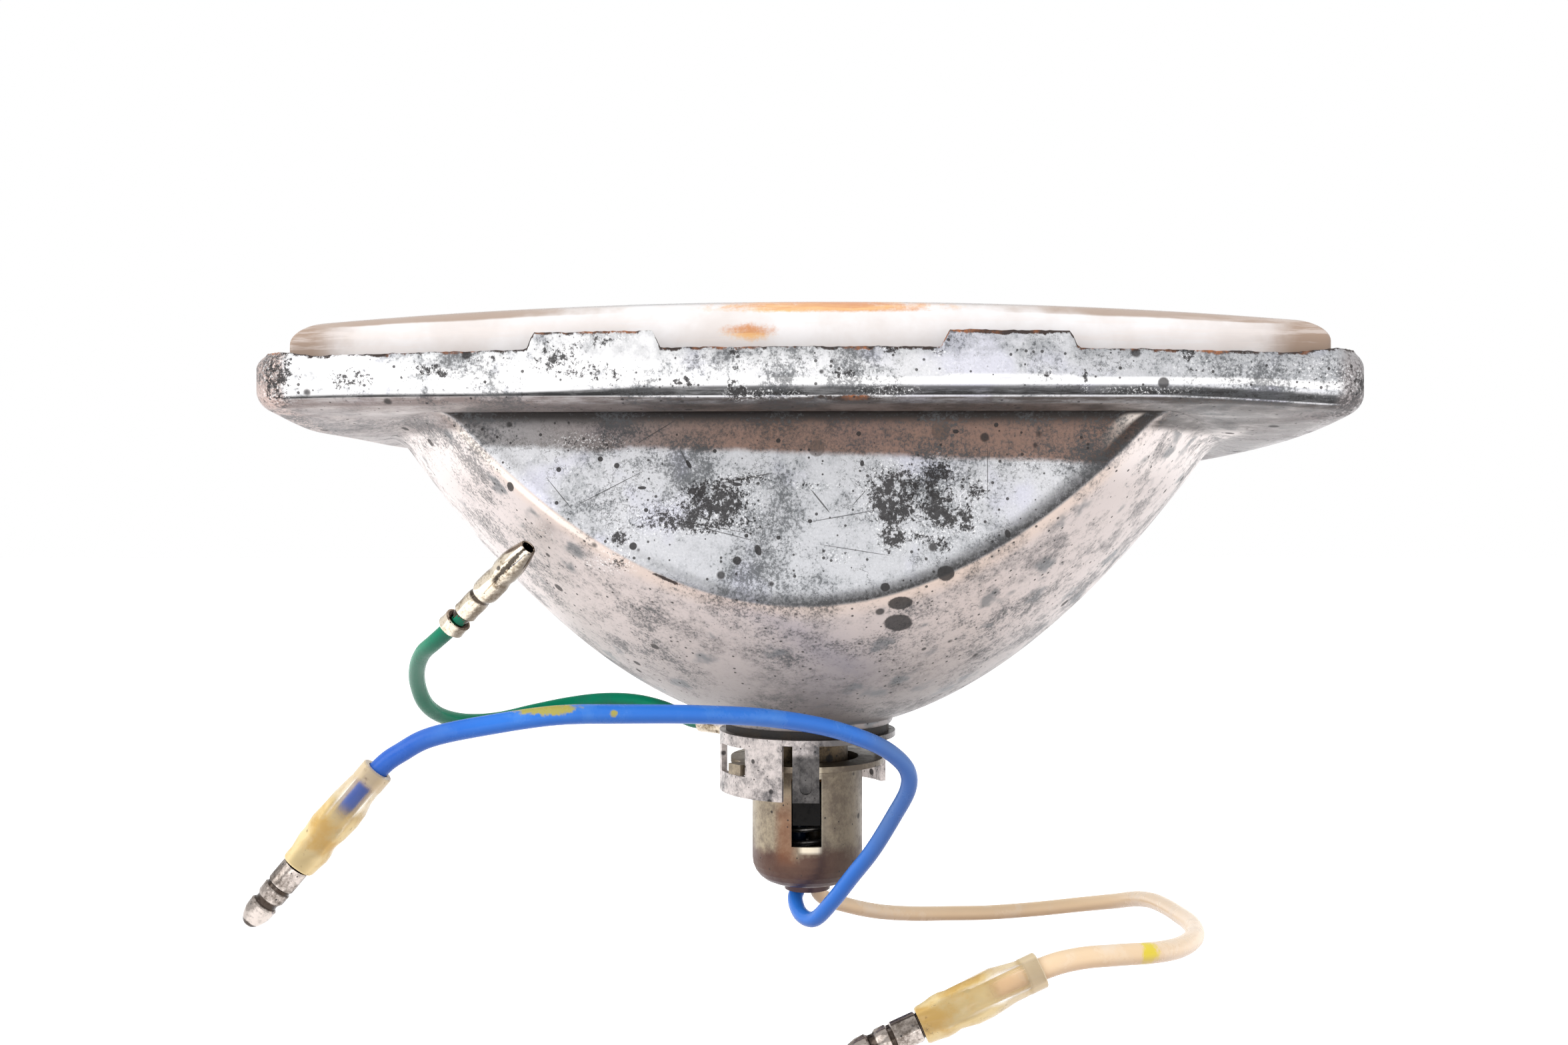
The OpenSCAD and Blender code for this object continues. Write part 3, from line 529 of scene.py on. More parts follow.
    # round the bend: a painted highlight line, a dark streaky band of painted shade and dark
    # reflection, a thin light line and an underside darkened as painted shade
    streak = addNode(tree, "TexNoise", (millimetres(tree, (9, 9, 1)), 1 / 1.0, 6, 0.75))
    colour = paint(tree, colour,
        ("#FFFFFF", (bend, 0.1, 0.17), (bend, 0.25, 0.21), (streak, 0.66, 0.5, 0.3, 0.95)))
    start = within(tree, (x, -48, -14, 0.36, 0.235))
    lower = addNode(tree, "Math SUBTRACT", (bend, within(tree, (x, 50, 66, 0, 0.07))))
    lined = within(tree,
        (addNode(tree, "Math SUBTRACT", (lower, start)), -0.02, 0.05), (lower, 0.455, 0.425))
    colour = paint(tree, colour,
        ("#1F1E1E", lined, (bend, 0.24, 0.4, 0.86, 1), (streak, 0.36, 0.56, 0.84, 1)))
    # past the light line the underside begins, later on the left
    past = within(tree,
        (addNode(tree, "Math ADD", (lower, within(tree, (x, -40, -10, 0.04, 0)))), 0.455, 0.5))
    under = within(tree, past, (across, 0.6, 0.4))
    under = addNode(tree, "Math MAXIMUM", (under, within(tree, past, (bend, 0.95, 0.8))))
    reach = apart(tree, x, 0.8)
    onEnds = within(tree, (reach, 66.5, 69.5))
    under = within(tree, under,
        (z, -9, -6), addNode(tree, "Math MAXIMUM", (onEnds, within(tree, (z, -3.4, -2.2)))))
    # painted shade on the underside, darker on the left
    undersideShade = paint(tree, "#7D706C", ("#3E3530", (x, -48, -14)))
    colour = paint(tree, colour,
        (undersideShade, under, (streak, 0.34, 0.58, 0.7, 0.97)),
        # painted shade on the gutter floor between the bowl and the wall at the ends
        ("#6E6462",
            onEnds, (clouds, 0.42, 0.56, 0, 0.75), (z, -10, -7), (bend, 0.9, 1),
            (across, 0.3, 0.1)))
    # and paler again in the outer corners, tan on the left and grey on the right
    corner = paint(tree, "#BFA89F",
        ("#A5A0A0", (x, -10, 10)),
        ("#5A514F", (addNode(tree, "Math ADD", (fine, clouds)), 0.9, 1.1)))
    outer = addNode(tree, "Math MULTIPLY_ADD", (clouds, 4, reach))
    colour = paint(tree, colour, (corner, (outer, 77.6, 79.6, 0, 0.9), (z, -7, -5)))
    # rust, orange in some places and dark in others
    rusty = addNode(tree, "Math ADD", (
        rusty, addNode(tree, "TexNoise", (where, 1 / 1.6, 8, 0.75))))
    rust = within(tree, (rusty, 0.96, 1.08))
    orange = addNode(tree, "TexNoise", (where, 1 / 9, 4, 0.6))
    colour = paint(tree, colour, (paint(tree, "#2E211B", ("#A8673A", (orange, 0.5, 0.62))), rust))
    ragged = addNode(tree, "Math MULTIPLY_ADD", (
        fine, 0.8, within(tree, addNode(tree, "TexNoise", (where, 1 / 2.0, 10, 0.82)), 1.2)))
    # bright chips stand round the bare patches
    colour = paint(tree, colour, ("#FBFCFC", (blotch, 0.06, 0.3, 0, 0.7), (grain, 0.47, 0.36)))
    masks["rust"] = rust
    flake = within(tree, (addNode(tree, "TexNoise", (where, 1 / 1.1, 6, 0.75)), 0.45, 0.5))
    bare = within(tree, (addNode(tree, "Math ADD", (blotch, ragged)), 1.34, 1.44, 0, 0.93), flake)
    masks["dark"] = addNode(tree, "Math MAXIMUM", (bare, within(tree, pits, front, 0.92)))
    return colour


def handlingScratches(tree, colour, normal, masks):
    # thin dark scuffs in three directions, in patches, each a shallow dent too
    patch = within(tree, (masks["clouds"], 0.5, 0.6))
    for turn, size, share in ((0, 0.28, 0.66), (27, 0.34, 0.69), (-14, 0.3, 0.68)):
        streak = addNode(tree, "TexNoise", (
            millimetres(tree, (24, 1, 1), (0, turn, 0)), 1 / size, 3, 0.6))
        scuff = within(tree, (streak, share, share + 0.07), patch)
        colour = paint(tree, colour, ("#4A4849", scuff, 0.55))
        normal = addNode(tree, "Bump", {
            "Height": addNode(tree, "Math SUBTRACT", (1.0, scuff)), "Distance": 0.03 * mm,
            "Normal": normal})
    return colour, normal


pressedSteel = weatheredMetal(
    "aluminisedPressedSteel", "#D3D4D7", "#8A8E91", lumps=9, cover=0.53, rough=(0.36, 0.5),
    metallic=0.5, speckle=0.635, layers=pressingLayers, scratched=handlingScratches)
print("stage: metals made")


# Pressing
# One sheet-metal pressing: rim wall with crimp tabs, gutter floor, bowl with
# two flat sides, neck and bulb seat.
pressing = dict(
    halfWidth=82.0, halfDepth=61.0, bow=2.8, corner=5.0, wall=8.2, tab=2.4, tabAt=29.9,
    tabHalf=9.3, sheet=0.8, bend=3.0, fourFocal=101.0, depth=55.2, flat=50.6,
    shoulder=3.0, recess=0.55, flare=2.2, neck=15.8, endDrop=0.9, endRise=0.75, ragged=0.16,
    lowLeft=2.4, lowRight=4.6, sag=0.5, crimp=0.35, cornerCrimp=1.5, leftIn=0.75,
    seat=[(15.8, -53.3), (15.5, -53.73), (13.4, -53.73), (11, -53.73), (11, -52.93),
          (13.2, -52.93), (14.9, -52.93)])
# how many rows of the mesh each part of the section takes
rowsOf = dict(wall=13, bend=9, gutter=10, flare=6, bowl=73, inside=26, back=6, wallInside=4)


def rimLine(inset):
    # outline of the rim, counterclockwise from the near left corner: bowed long
    # sides as parabolas, straight short sides and round corners
    p = pressing
    a, b, r = p["halfWidth"] - inset, p["halfDepth"] - inset, max(p["corner"] - inset, 1)
    s = a - r

    def arc(x, y, first):
        t = np.radians(first + np.linspace(0, 90, 16)[1:-1])
        return np.stack([x + r * np.cos(t), y + r * np.sin(t)], 1)

    def side(count):
        x = np.linspace(-s, s, count)
        return np.stack([x, -b - p["bow"] * (1 - (x / s) ** 2)], 1)

    ends = np.linspace(r - b, b - r, 60)
    line = np.vstack([
        side(272), arc(s, r - b, -90), np.stack([ends * 0 + a, ends], 1),
        arc(s, b - r, 0), -side(110), arc(-s, b - r, 90),
        np.stack([ends * 0 - a, -ends], 1), arc(-s, r - b, 180)])
    # the left end was cut short
    line[:, 0] += p["leftIn"] * np.clip((-line[:, 0] - 60) / 20, 0, 1)
    return line


def ripple(s, seed, waves):
    # sum of sines with fixed random phases: a smooth wandering line
    random = np.random.default_rng(seed)
    return sum(np.sin(2 * math.pi * s / w + random.uniform(0, 6.3)) for w in waves) / len(waves)


def onward(count):
    # equal steps from 0 to 1 without the 0, which is the row before
    return np.linspace(0, 1, count + 1)[1:]


def quarter(count):
    # the same over a right angle, with its cosine and sine
    for t in 90 * onward(count):
        yield t, math.cos(math.radians(t)), math.sin(math.radians(t))


def makePressing():
    # rows of the section from the wall's top down the outside, through the bowl to
    # the seat, and back up the inside, each carried round the rim's outline
    p = pressing
    line = rimLine(0)
    tangent = np.roll(line, -1, 0) - np.roll(line, 1, 0)
    tangent /= np.linalg.norm(tangent, axis=1)[:, None]
    out = np.stack([tangent[:, 1], -tangent[:, 0]], 1)
    angle = np.arctan2(line[:, 1], line[:, 0])
    ray = np.stack([np.cos(angle), np.sin(angle)], 1)
    run = np.concatenate([[0], np.cumsum(np.linalg.norm(np.diff(line, axis=0), axis=1))])
    x, y = line.T
    longSide = np.abs(out[:, 1]) ** 4
    corner = hump(np.abs(x), 80, 4) * hump(np.abs(y), 59, 6)
    tabs = sum(step(p["tabHalf"] - np.abs(x - c * p["tabAt"]), -0.6, 0.8) for c in (-1, 1))
    top = (p["wall"] - p["endDrop"] * np.minimum((x / 72) ** 2, 1) + p["tab"] * tabs * longSide
           + p["endRise"] * step(np.abs(x), 69, 78)
           + p["ragged"] * ripple(run, 3, (1.3, 1.9, 3.1, 4.7, 7.7, 12.9)))
    # the gutter lies lower along the short sides, most on the right, and runs
    # across the far side between the two
    left = p["lowLeft"] * step(y, -66, -36) * (1 - 0.3 * step(y, -10, 60))
    right = p["lowRight"] * (1 - np.exp(-(np.clip(y, -66, 80) + 66) / 26))
    share = np.where(y > 0, np.clip(0.5 + x / 2 / p["halfWidth"], 0, 1), (x > 0) * 1.0)
    low = (left + (right - left) * share) * np.where(y > 0, 1, step(np.abs(x), 60, 79))
    flatAt = p["flat"] / np.maximum(np.abs(ray[:, 1]), 1e-3)

    def bowlRadius(z, sheet=0.0):
        # the parabola's radius at height z, cut smoothly by the flats, whose
        # field is pressed in a little
        r = np.sqrt(np.maximum(p["fourFocal"] * (z + p["depth"]), 1))
        if sheet:
            slope = 2 * r / p["fourFocal"]
            r = r - sheet * np.sqrt(1 + slope ** 2) / slope
        lean = np.maximum(np.abs(ray[:, 1]), 1e-3)
        inside = (r - flatAt) * lean
        b = flatAt - (sheet + p["recess"] * step(inside, 0.3, 1.9)) / lean
        h = np.clip(0.5 + 0.5 * (b - r) / p["shoulder"], 0, 1)
        return b + (r - b) * h - p["shoulder"] * h * (1 - h), np.clip(0.5 + inside / 10, 0, 1)

    rows, marks = [], []

    def put(xy, z, across=0.0, bend=1.0):
        # one row of points and its marks
        z = z + 0 * x
        rows.append(np.column_stack([xy, z]))
        marks.append(np.stack([across + 0 * x, 0 * x, 0 * x, bend + 0 * x], 1))

    for t in np.linspace(0, 1, rowsOf["wall"]):
        crimp = (p["crimp"] * (1 - tabs * longSide) * (1 - step(t, 0, 0.22))
                 + p["cornerCrimp"] * corner * (1 - step(t, -0.1, 0.42)))
        put(line - out * crimp[:, None], top + (p["bend"] - low - top) * t, 1,
            0.2 * step(t, 0.6, 1))
    for t, c, s in quarter(rowsOf["bend"]):
        put(line - out * p["bend"] * (1 - c), p["bend"] * (1 - s) - low, 1 - step(t, 62, 80),
            0.2 + t / 150)
    inner = line - out * p["bend"]
    brink = ray * (bowlRadius(-p["flare"] - low)[0] + p["flare"])[:, None]
    for t in onward(rowsOf["gutter"]):
        put(inner + (brink - inner) * t, -low - p["sag"] * math.sin(math.pi * t))
    for t, c, s in quarter(rowsOf["flare"]):
        r, across = bowlRadius(-p["flare"] * (1 - c) - low)
        put(ray * (r + p["flare"] * (1 - s))[:, None], -p["flare"] * (1 - c) - low, across)
    neckTop = p["neck"] ** 2 / p["fourFocal"] - p["depth"]
    # the bowl's rows stand closer at the flat's edge
    spread = np.linspace(0, 1, 400)
    crowding = np.cumsum(1 + 1.4 * hump(spread, 0.5, 0.13))
    evenly = crowding[0] + (crowding[-1] - crowding[0]) * onward(rowsOf["bowl"])
    for t in np.interp(evenly, crowding, spread):
        z = (-p["flare"] - low) * (1 - t) + neckTop * t
        r, across = bowlRadius(z)
        put(ray * r[:, None], z, across)
    for r, z in p["seat"]:
        put(ray * r, z)
    slope = 2 * p["neck"] / p["fourFocal"]
    start = neckTop + p["sheet"] / math.sqrt(1 + slope ** 2)
    for t in np.linspace(0, 1, rowsOf["inside"]):
        z = start * (1 - t) - low * t
        put(ray * bowlRadius(z, p["sheet"])[0][:, None], z)
    brink = ray * bowlRadius(-low, p["sheet"])[0][:, None]
    inner = line - out * (p["sheet"] + 0.6)
    for t in onward(rowsOf["back"]):
        put(brink + (inner - brink) * t, p["sheet"] - low - p["sag"] * math.sin(math.pi * t))
    inner = line - out * p["sheet"]
    for t in onward(rowsOf["wallInside"]):
        crimp = (p["crimp"] * (1 - tabs * longSide) * step(t, 0.7, 1)
                 + p["cornerCrimp"] * corner * step(t, 0.5, 1.05))
        put(inner - out * crimp[:, None], 1.5 - low + (top - 1.5 + low) * t, 1, 0)
    return np.array(rows), np.array(marks), run


grid, marks, run = makePressing()

# Dark patches where the bright layer has gone: place and reach in x and z on
# the near flat and the near wall, and how strong
flatBlotches = [
    (-12.3, -13.9, 4.4, 1.8, 0.72), (-15, -11.5, 5, 1.0, 0.28), (-8, -10.2, 4.5, 0.6, 0.42),
    (-14, -17.0, 6, 1.8, 0.24), (-19.5, -16.6, 4.5, 2.2, 0.2), (13.4, -12.5, 3.1, 3.2, 0.66),
    (14.0, -15.2, 2.6, 1.6, 0.5), (20.8, -12.2, 1.9, 4.0, 0.58), (20.8, -16.0, 2.4, 1.6, 0.4),
    (24.9, -16.8, 1.6, 1.7, 0.66), (26.4, -12.2, 1.8, 1.5, 0.46), (13.4, -19.6, 1.8, 1.7, 0.56),
    (17.4, -19.2, 3.2, 0.8, 0.42), (21.4, -20.7, 1.5, 0.8, 0.52), (19, -10, 7, 2, 0.2),
    (-35.9, -9, 1.3, 1.3, 0.3), (1.7, -11.6, 4, 0.6, 0.35), (-28, -19.3, 0.8, 0.8, 0.4),
    (-40.8, -18.7, 2.2, 1.6, 0.3), (-24, -16, 5, 2.4, 0.16), (-28, -20, 3, 2, 0.25),
    (34, -8, 3, 1.4, 0.2), (-10, -17.5, 9, 1.0, 0.2), (-30, -23.5, 5, 1.4, 0.3),
    (5.2, -22.3, 2.4, 1.0, 0.3), (-33, -4.6, 6, 1.4, 0.3)]
wallBlotches = [
    (-75.5, 4.2, 2.2, 3.2, 0.38), (-78, 4.5, 1.8, 3, 0.3), (-65.5, 3.8, 3.4, 1.6, 0.5),
    (-54, 5, 2.4, 0.9, 0.5), (-35, 6.4, 3.6, 2.4, 0.44), (-28, 4.4, 4, 1.4, 0.38),
    (-28, 9.4, 4, 1.2, 0.36), (-44, 6.8, 3, 0.8, 0.34), (-16.6, 3.2, 1.6, 0.7, 0.62),
    (-9.2, 2.2, 1.0, 1.2, 0.6), (-9.2, 6, 1.0, 4, 0.26), (-9.4, 7.6, 0.5, 0.5, 0.7),
    (-5, 1.4, 4.5, 0.6, 0.44), (6.2, 4.2, 2, 0.7, 0.5), (12, 1.9, 4.0, 0.8, 0.46),
    (13, 7.6, 1.3, 0.6, 0.62), (20, 7.2, 0.9, 0.4, 0.6), (35, 4.4, 1.0, 0.6, 0.55),
    (40.5, 3.6, 0.3, 1.6, 0.6), (55.5, 7.3, 0.8, 0.8, 0.85), (-51.6, 4.4, 0.5, 0.5, 0.6),
    (-77, 2.2, 0.8, 0.7, 0.6), (82, 3, 2, 1, 0.8), (60, 5, 9, 2, 0.2), (76, 4, 6, 3, 0.25),
    (49, 1.9, 6, 0.5, 0.34)]
x, y, z = np.moveaxis(grid, -1, 0)
near, onRim = y < -45, z > 0.2
for blotches, there in ((flatBlotches, near & ~onRim), (wallBlotches, near & onRim)):
    for bx, bz, rx, rz, strength in blotches:
        away = ((x - bx) / rx) ** 2 + ((z - bz) / rz) ** 2
        marks[..., 1] += there * strength * np.exp(-away * 0.7)
# rust along the wall's top edge, in two runs on the wall and at the flat's lower edge
topRust = 0.62 + 0.12 * ripple(run, 5, (6, 11, 23, 47)) + 0.3 * near[:1] * hump(x[:1], 29, 7)
marks[..., 2] += topRust * hump(z, z[:1], 0.8)
for rx, rz, wide, high, strength in ((7, 0.9, 9, 0.7, 0.7), (39.5, 2.6, 3, 0.5, 0.62)):
    marks[..., 2] += near * strength * hump(x, rx, wide) * hump(z, rz, high)
marks[..., 2] += near * (z < -20) * 0.66 * hump(x, -20.5, 4.5) * hump(marks[..., 0], 0.48, 0.05)
pressingPiece = gridMesh("pressedReflector", grid, True, True, pressedSteel, 40, marks)
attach(pressingPiece, "housing")
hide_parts("reflector", "rim")
print("stage: pressing made", len(pressingPiece.data.polygons) * 2, "triangles")


# Lens
lens = dict(inset=4.4, foot=1.8, thick=3.0, top=17.6, shoulder=9.6, edge=5.4, crown=900.0,
            flute=5.2, fluteDepth=0.5, leftShare=0.996)
# how many rings of the mesh each part of it takes
ringsOf = dict(wall=8, edge=11, crown=39, back=60)


def glassMaterial():
    # pressed soda-lime glass, etched and dusty on its sides: milky white with
    # brownish ends and a rust run, and clear on its face. Marks hold side, ends,
    # rust and the brown brim
    material, tree = newMaterial("pressedLensGlass")
    where = millimetres(tree)
    side, ends, rusty, brim = readMarks(tree)
    z = addNode(tree, "SeparateXYZ", [where], "Z")
    cloud = addNode(tree, "TexNoise", (where, 1 / 14, 5, 0.6))
    milk = paint(tree, "#FCFAF9", ("#EDE6E1", (cloud, 0.35, 0.65)))
    # the upper edge is dull brown, more towards the ends
    level = addNode(tree, "Math MULTIPLY_ADD", (cloud, 0.5, brim))
    brown = addNode(tree, "Math MAXIMUM", (
        within(tree,
            (addNode(tree, "Math MULTIPLY_ADD", (cloud, 0.5, ends)), 0.45, 0.95, 0, 0.95)),
        within(tree, (level, 0.6, 0.9, 0, 0.85))))
    colour = paint(tree, milk, ("#A98F7A", brown))
    streak = addNode(tree, "TexNoise", (millimetres(tree, (14, 2, 1)), 1 / 2.0, 6, 0.7))
    colour = paint(tree, colour, ("#F6EDE7", (streak, 0.5, 0.62, 0, 0.45), (z, 14, 12)))
    ragged = addNode(tree, "TexNoise", (where, 1 / 3.0, 9, 0.85))
    rust = within(tree, (addNode(tree, "Math ADD", (rusty, ragged)), 0.86, 1.22, 0, 0.85))
    colour = paint(tree, colour, (paint(tree, "#D98424", ("#F8BC66", (streak, 0.4, 0.6))), rust))
    stained = within(tree, addNode(tree, "Math MAXIMUM", (rust, brown)), 0.9)
    clear = within(tree,
        addNode(tree, "Math SUBTRACT", (1.0, side)),
        addNode(tree, "Math SUBTRACT", (1.0, stained)))
    shader = addNode(tree, "BsdfPrincipled", {
        "Base Color": colour, "Roughness": within(tree, (side, 0, 1, 0.06, 0.42)),
        "Transmission Weight": clear, "IOR": 1.5,
        "Normal": addNode(tree, "Bump", {
            "Height": addNode(tree, "TexNoise", (where, 1 / 3, 3, 0.5)), "Distance": 0.05 * mm})})
    addNode(tree, "OutputMaterial", [shader])
    return material


def makeLens():
    # rings of the rim's outline, from the foot up the wall, over the round edge
    # and across the crown to the middle, then back inside with flutes
    p = lens
    base = rimLine(p["inset"])[::2]
    x, y = base.T
    away = np.hypot(x, y)

    def ring(inset, z, shrink=1.0):
        scaled = base * ((away - inset) / away)[:, None] * shrink
        scaled[:, 0] *= np.where(x < 0, p["leftShare"], 1)
        return np.column_stack([scaled, z + 0 * x])

    def crown(scaled, drop):
        return p["top"] - drop - (scaled[:, 0] ** 2 + scaled[:, 1] ** 2) / (2 * p["crown"])

    rows, marks = [], []
    for t in np.linspace(0, 1, ringsOf["wall"]):
        rows.append(ring(0, p["foot"] + (p["shoulder"] - p["foot"]) * t))
        marks.append((1.0, 0.0))
    for t, c, s in quarter(ringsOf["edge"]):
        outer = ring(p["edge"] * (1 - c), 0)
        high = crown(outer, 0)
        outer[:, 2] = p["shoulder"] + (high - p["shoulder"]) * s
        rows.append(outer)
        marks.append((1 - step(t, 60, 88), step(s, 0.55, 0.8)))
    for k in 1 - onward(ringsOf["crown"]):
        outer = ring(p["edge"], 0, k)
        outer[:, 2] = crown(outer, 0)
        rows.append(outer)
        marks.append((0.0, 0.0))
    for k in np.linspace(0, 1, ringsOf["back"]):
        outer = ring(p["edge"] + 1, 0, k)
        flute = np.abs(np.sin(math.pi * outer[:, 0] / p["flute"])) * p["fluteDepth"]
        outer[:, 2] = crown(outer, p["thick"]) - flute * (1 - step(k, 0.93, 0.99))
        rows.append(outer)
        marks.append((0.0, 0.0))
    inner = p["shoulder"] - 0.5
    for t in np.linspace(0, 1, ringsOf["wall"]):
        rows.append(ring(p["thick"], inner + (p["foot"] - inner) * t))
        marks.append((1.0, 0.0))
    grid = np.array(rows)
    side, edge = [np.array(column)[:, None] + 0 * grid[..., 0] for column in zip(*marks)]
    x, y, z = np.moveaxis(grid, -1, 0)
    ends = step(np.abs(x), 60, 80)
    brim = edge * (0.25 + 0.5 * step(np.abs(x), 6, 56))
    rusty = 0.76 * hump(x, 4, 24) * edge + 0.68 * hump(x, -8, 6.5) * hump(z, 10.8, 1.9)
    rusty *= step(-y, 40, 56)
    return grid, np.stack([side, ends * side, rusty, brim], -1)


grid, marks = makeLens()
lensPiece = gridMesh("crownedLens", grid, True, True, glassMaterial(), 30, marks)
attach(lensPiece, "housing")
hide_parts("lens")
print("stage: lens made")


# Wire ends
def sleeveMaterial():
    # yellowed clear PVC: the wire and crimp show through it, most near its clear
    # mouth, and dust sits in its folds
    material, tree = newMaterial("yellowedClearVinyl")
    where = millimetres(tree)
    along = readMarks(tree)[2]
    cloud = addNode(tree, "TexNoise", (where, 1 / 5, 5, 0.6))
    colour = paint(tree, "#EFD9A2",
        ("#D3AE66", (cloud, 0.42, 0.66)),
        ("#DCC9A6", (along, 0.17, 0.11)),
        ("#7A5F3A", (addNode(tree, "TexNoise", (where, 1 / 1.6, 7, 0.75)), 0.58, 0.7, 0, 0.8)))
    opaque = addNode(tree, "Math ADD", (
        within(tree, (along, 0.33, 0.5, 0.04, 0.52)), within(tree, (along, 0.16, 0.1, 0, 0.5))))
    thick = within(tree, (cloud, 0.42, 0.66, 0, 0.2), (along, 0.3, 0.42))
    rim = addNode(tree, "LayerWeight", {"Blend": 0.5}, "Facing")
    opaque = addNode(tree, "Math ADD", (opaque, within(tree, (rim, 0.14, 0.4, 0, 0.55))))
    shader = addNode(tree, "BsdfPrincipled", {
        "Base Color": colour, "Roughness": 0.16, "IOR": 1.4,
        "Alpha": addNode(tree, "Math ADD", (opaque, thick), use_clamp=True),
        "Normal": addNode(tree, "Bump", {
            "Height": addNode(tree, "TexNoise", (where, 1 / 2.2, 5, 0.6)), "Distance": 0.1 * mm})})
    addNode(tree, "OutputMaterial", [shader])
    return material


def tarnishAndShade(tree, colour, masks):
    # handled plating stays bright where it stands proud, and is brown in its hollows with tarnish
    # and painted shade, with painted shade down one side and less of it down the other
    hollow, side = readMarks(tree)[:2]
    uneven = within(tree, masks["clouds"], 0.5)
    hollowsAndShadedSide = addNode(tree, "Math MAXIMUM", (
        within(tree, (addNode(tree, "Math ADD", (hollow, uneven)), 0.32, 0.6, 0, 0.95)),
        within(tree, (addNode(tree, "Math ADD", (side, uneven)), 1.0, 1.2, 0, 0.75))))
    other = within(tree, (addNode(tree, "Math SUBTRACT", (side, uneven)), 0.02, -0.14, 0, 0.4))
    return paint(tree, colour, ("#372D26", addNode(tree, "Math MAXIMUM", (hollowsAndShadedSide, other))))


sleeveVinyl = sleeveMaterial()
bulletMetal = weatheredMetal(
    "nickelPlatedBullet", "#CDC2BA", "#5C5249", lumps=3, depth=0.012, rough=(0.14, 0.26),
    speckle=0.76, cell=2.5, metallic=1.0, layers=tarnishAndShade)

# Each profile is (distance along the axis, radius), outside first and back inside
sleeve = dict(swellAt=8.6, dripAt=14, profile=[
    (0, 1.52), (0, 2.15), (0.15, 2.3), (2.2, 2.3), (2.5, 2.25), (3.2, 2.3), (4.4, 2.42), (6, 2.75),
    (8, 2.9), (10, 2.85), (11.5, 2.62), (12.3, 2.5), (13.2, 2.6), (14.2, 2.55), (15.2, 2.4),
    (16.5, 2.35), (16.8, 2.2), (16.8, 1.72), (15, 1.7), (11, 1.72), (9, 1.55), (4, 1.52)])
bullet = dict(seam=1.2, profile=[
    (9.3, 0.01), (9.3, 1.5), (9.6, 1.6), (12.5, 1.45), (13, 1.6), (17.0, 1.6), (17.1, 1.9),
    (17.3, 1.95), (20.3, 1.95), (20.5, 1.75), (20.9, 1.75), (21.1, 1.95), (22.4, 1.95),
    (22.9, 1.6), (23.5, 1.6), (23.9, 1.95), (25.2, 1.9), (26.3, 1.55), (27.0, 1.1), (27.25, 0.8),
    (27.3, 0.5), (27.0, 0.45), (26, 0.4), (26, 0.01)])


def sleeveShape(t, r, angle):
    # softly square bulge over the crimp, with a sagging drip on one side
    square = 0.16 * hump(t, sleeve["swellAt"], 3.2) * np.cos(2 * angle + 0.5)
    wavy = 0.12 * np.sin(3 * angle + t * 0.8) * step(t, 1.5, 4)
    drip = 0.25 * hump(t, sleeve["dripAt"], 1.6) * np.exp(-6 * np.cos(angle / 2 - 0.6) ** 2)
    return r + square + (wavy + drip) * (r > 1.8)


def bulletShape(t, r, angle):
    # a seam along the rolled barrel
    return r - 0.22 * hump(np.sin((angle - bullet["seam"]) / 2), 0, 0.06) * (r > 1)


for colourName in ("blue", "white"):
    route = routes[colourName]
    piece = turnedPiece(
        colourName + "SleevePiece", route, sleeve["profile"], sleeveVinyl, sleeveShape)
    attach(piece, "socket")
    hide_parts(colourName + "_sleeve")
    end = turnedPiece(
        colourName + "BulletPiece", route, bullet["profile"], bulletMetal, bulletShape)
    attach(end, "socket")
    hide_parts(colourName + "_bullet")
    route["ends"] = [piece, end]


def foldedTin(tree, colour, masks):
    # the rolled nose shows its fold as a dark line, with brown and painted shade in the crimps
    colour = tarnishAndShade(tree, colour, masks)
    side, along = readMarks(tree)[1:3]
    wobble = within(tree, (masks["clouds"], 0.3, 0.7, 0.55, 0.7))
    return paint(tree, colour,
        ("#2B231E", (apart(tree, side, wobble), 0.11, 0.05, 0, 0.92), (along, 0.6, 0.66)))


terminalMetal = weatheredMetal(
    "tinnedBrassTerminal", "#EEE1CD", "#8E7858", lumps=2.2, cover=0.55, depth=0.006,
    rough=(0.1, 0.2), speckle=0.82, cell=2.5, pitShare=0.12, metallic=1.0, layers=foldedTin)
lugMetal = weatheredMetal("tinnedBrassLug", "#C9BCA9", "#7D6D57", lumps=4, rough=(0.14, 0.28),
                          speckle=0.74, cell=2.5, metallic=1.0)
openBarrel = dict(gap=2.1, shadedSide=4.6, profile=[
    (0, 1.45), (0, 1.95), (0.25, 2.15), (1.3, 2.05), (2.2, 2.1), (2.35, 1.9), (2.37, 1.42),
    (4.0, 1.42), (4.02, 1.7), (4.2, 1.82), (5.4, 1.74), (6.6, 1.82), (7.6, 1.8), (8.6, 1.75),
    (9.0, 1.95), (9.5, 2.2), (10.2, 2.25), (12.6, 2.2), (13.4, 2.05), (14.2, 2.05), (14.9, 2.25),
    (17.0, 2.2), (18.8, 1.9), (20.3, 1.5), (20.9, 1.32), (21, 1.2), (20.9, 1.0), (19.5, 1.05),
    (17.5, 1.3), (16, 1.3), (16, 0.02), (7, 0.02), (7, 1.45)])


def terminalShape(t, r, angle):
    # open barrel: a gap along the crimps where the ears meet, flats on the
    # barrel, and an open nose
    gap = hump(np.sin((angle - openBarrel["gap"]) / 2), 0, 0.09) * (r > 1.2)
    ears = 0.18 * np.abs(np.cos(angle - 0.5)) * (t < 8.5)
    flats = 0.1 * np.cos(3 * angle) * hump(t, 12, 2.5)
    return r - 0.4 * gap * (t < 9) - 0.16 * gap + (ears + flats) * (r > 1.6)


route = routes["green"]
terminal = turnedPiece(
    "greenTerminalPiece", route, openBarrel["profile"], terminalMetal, terminalShape,
    openBarrel["shadedSide"])
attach(terminal, "housing")
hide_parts("green_terminal")
route["ends"] = [terminal]

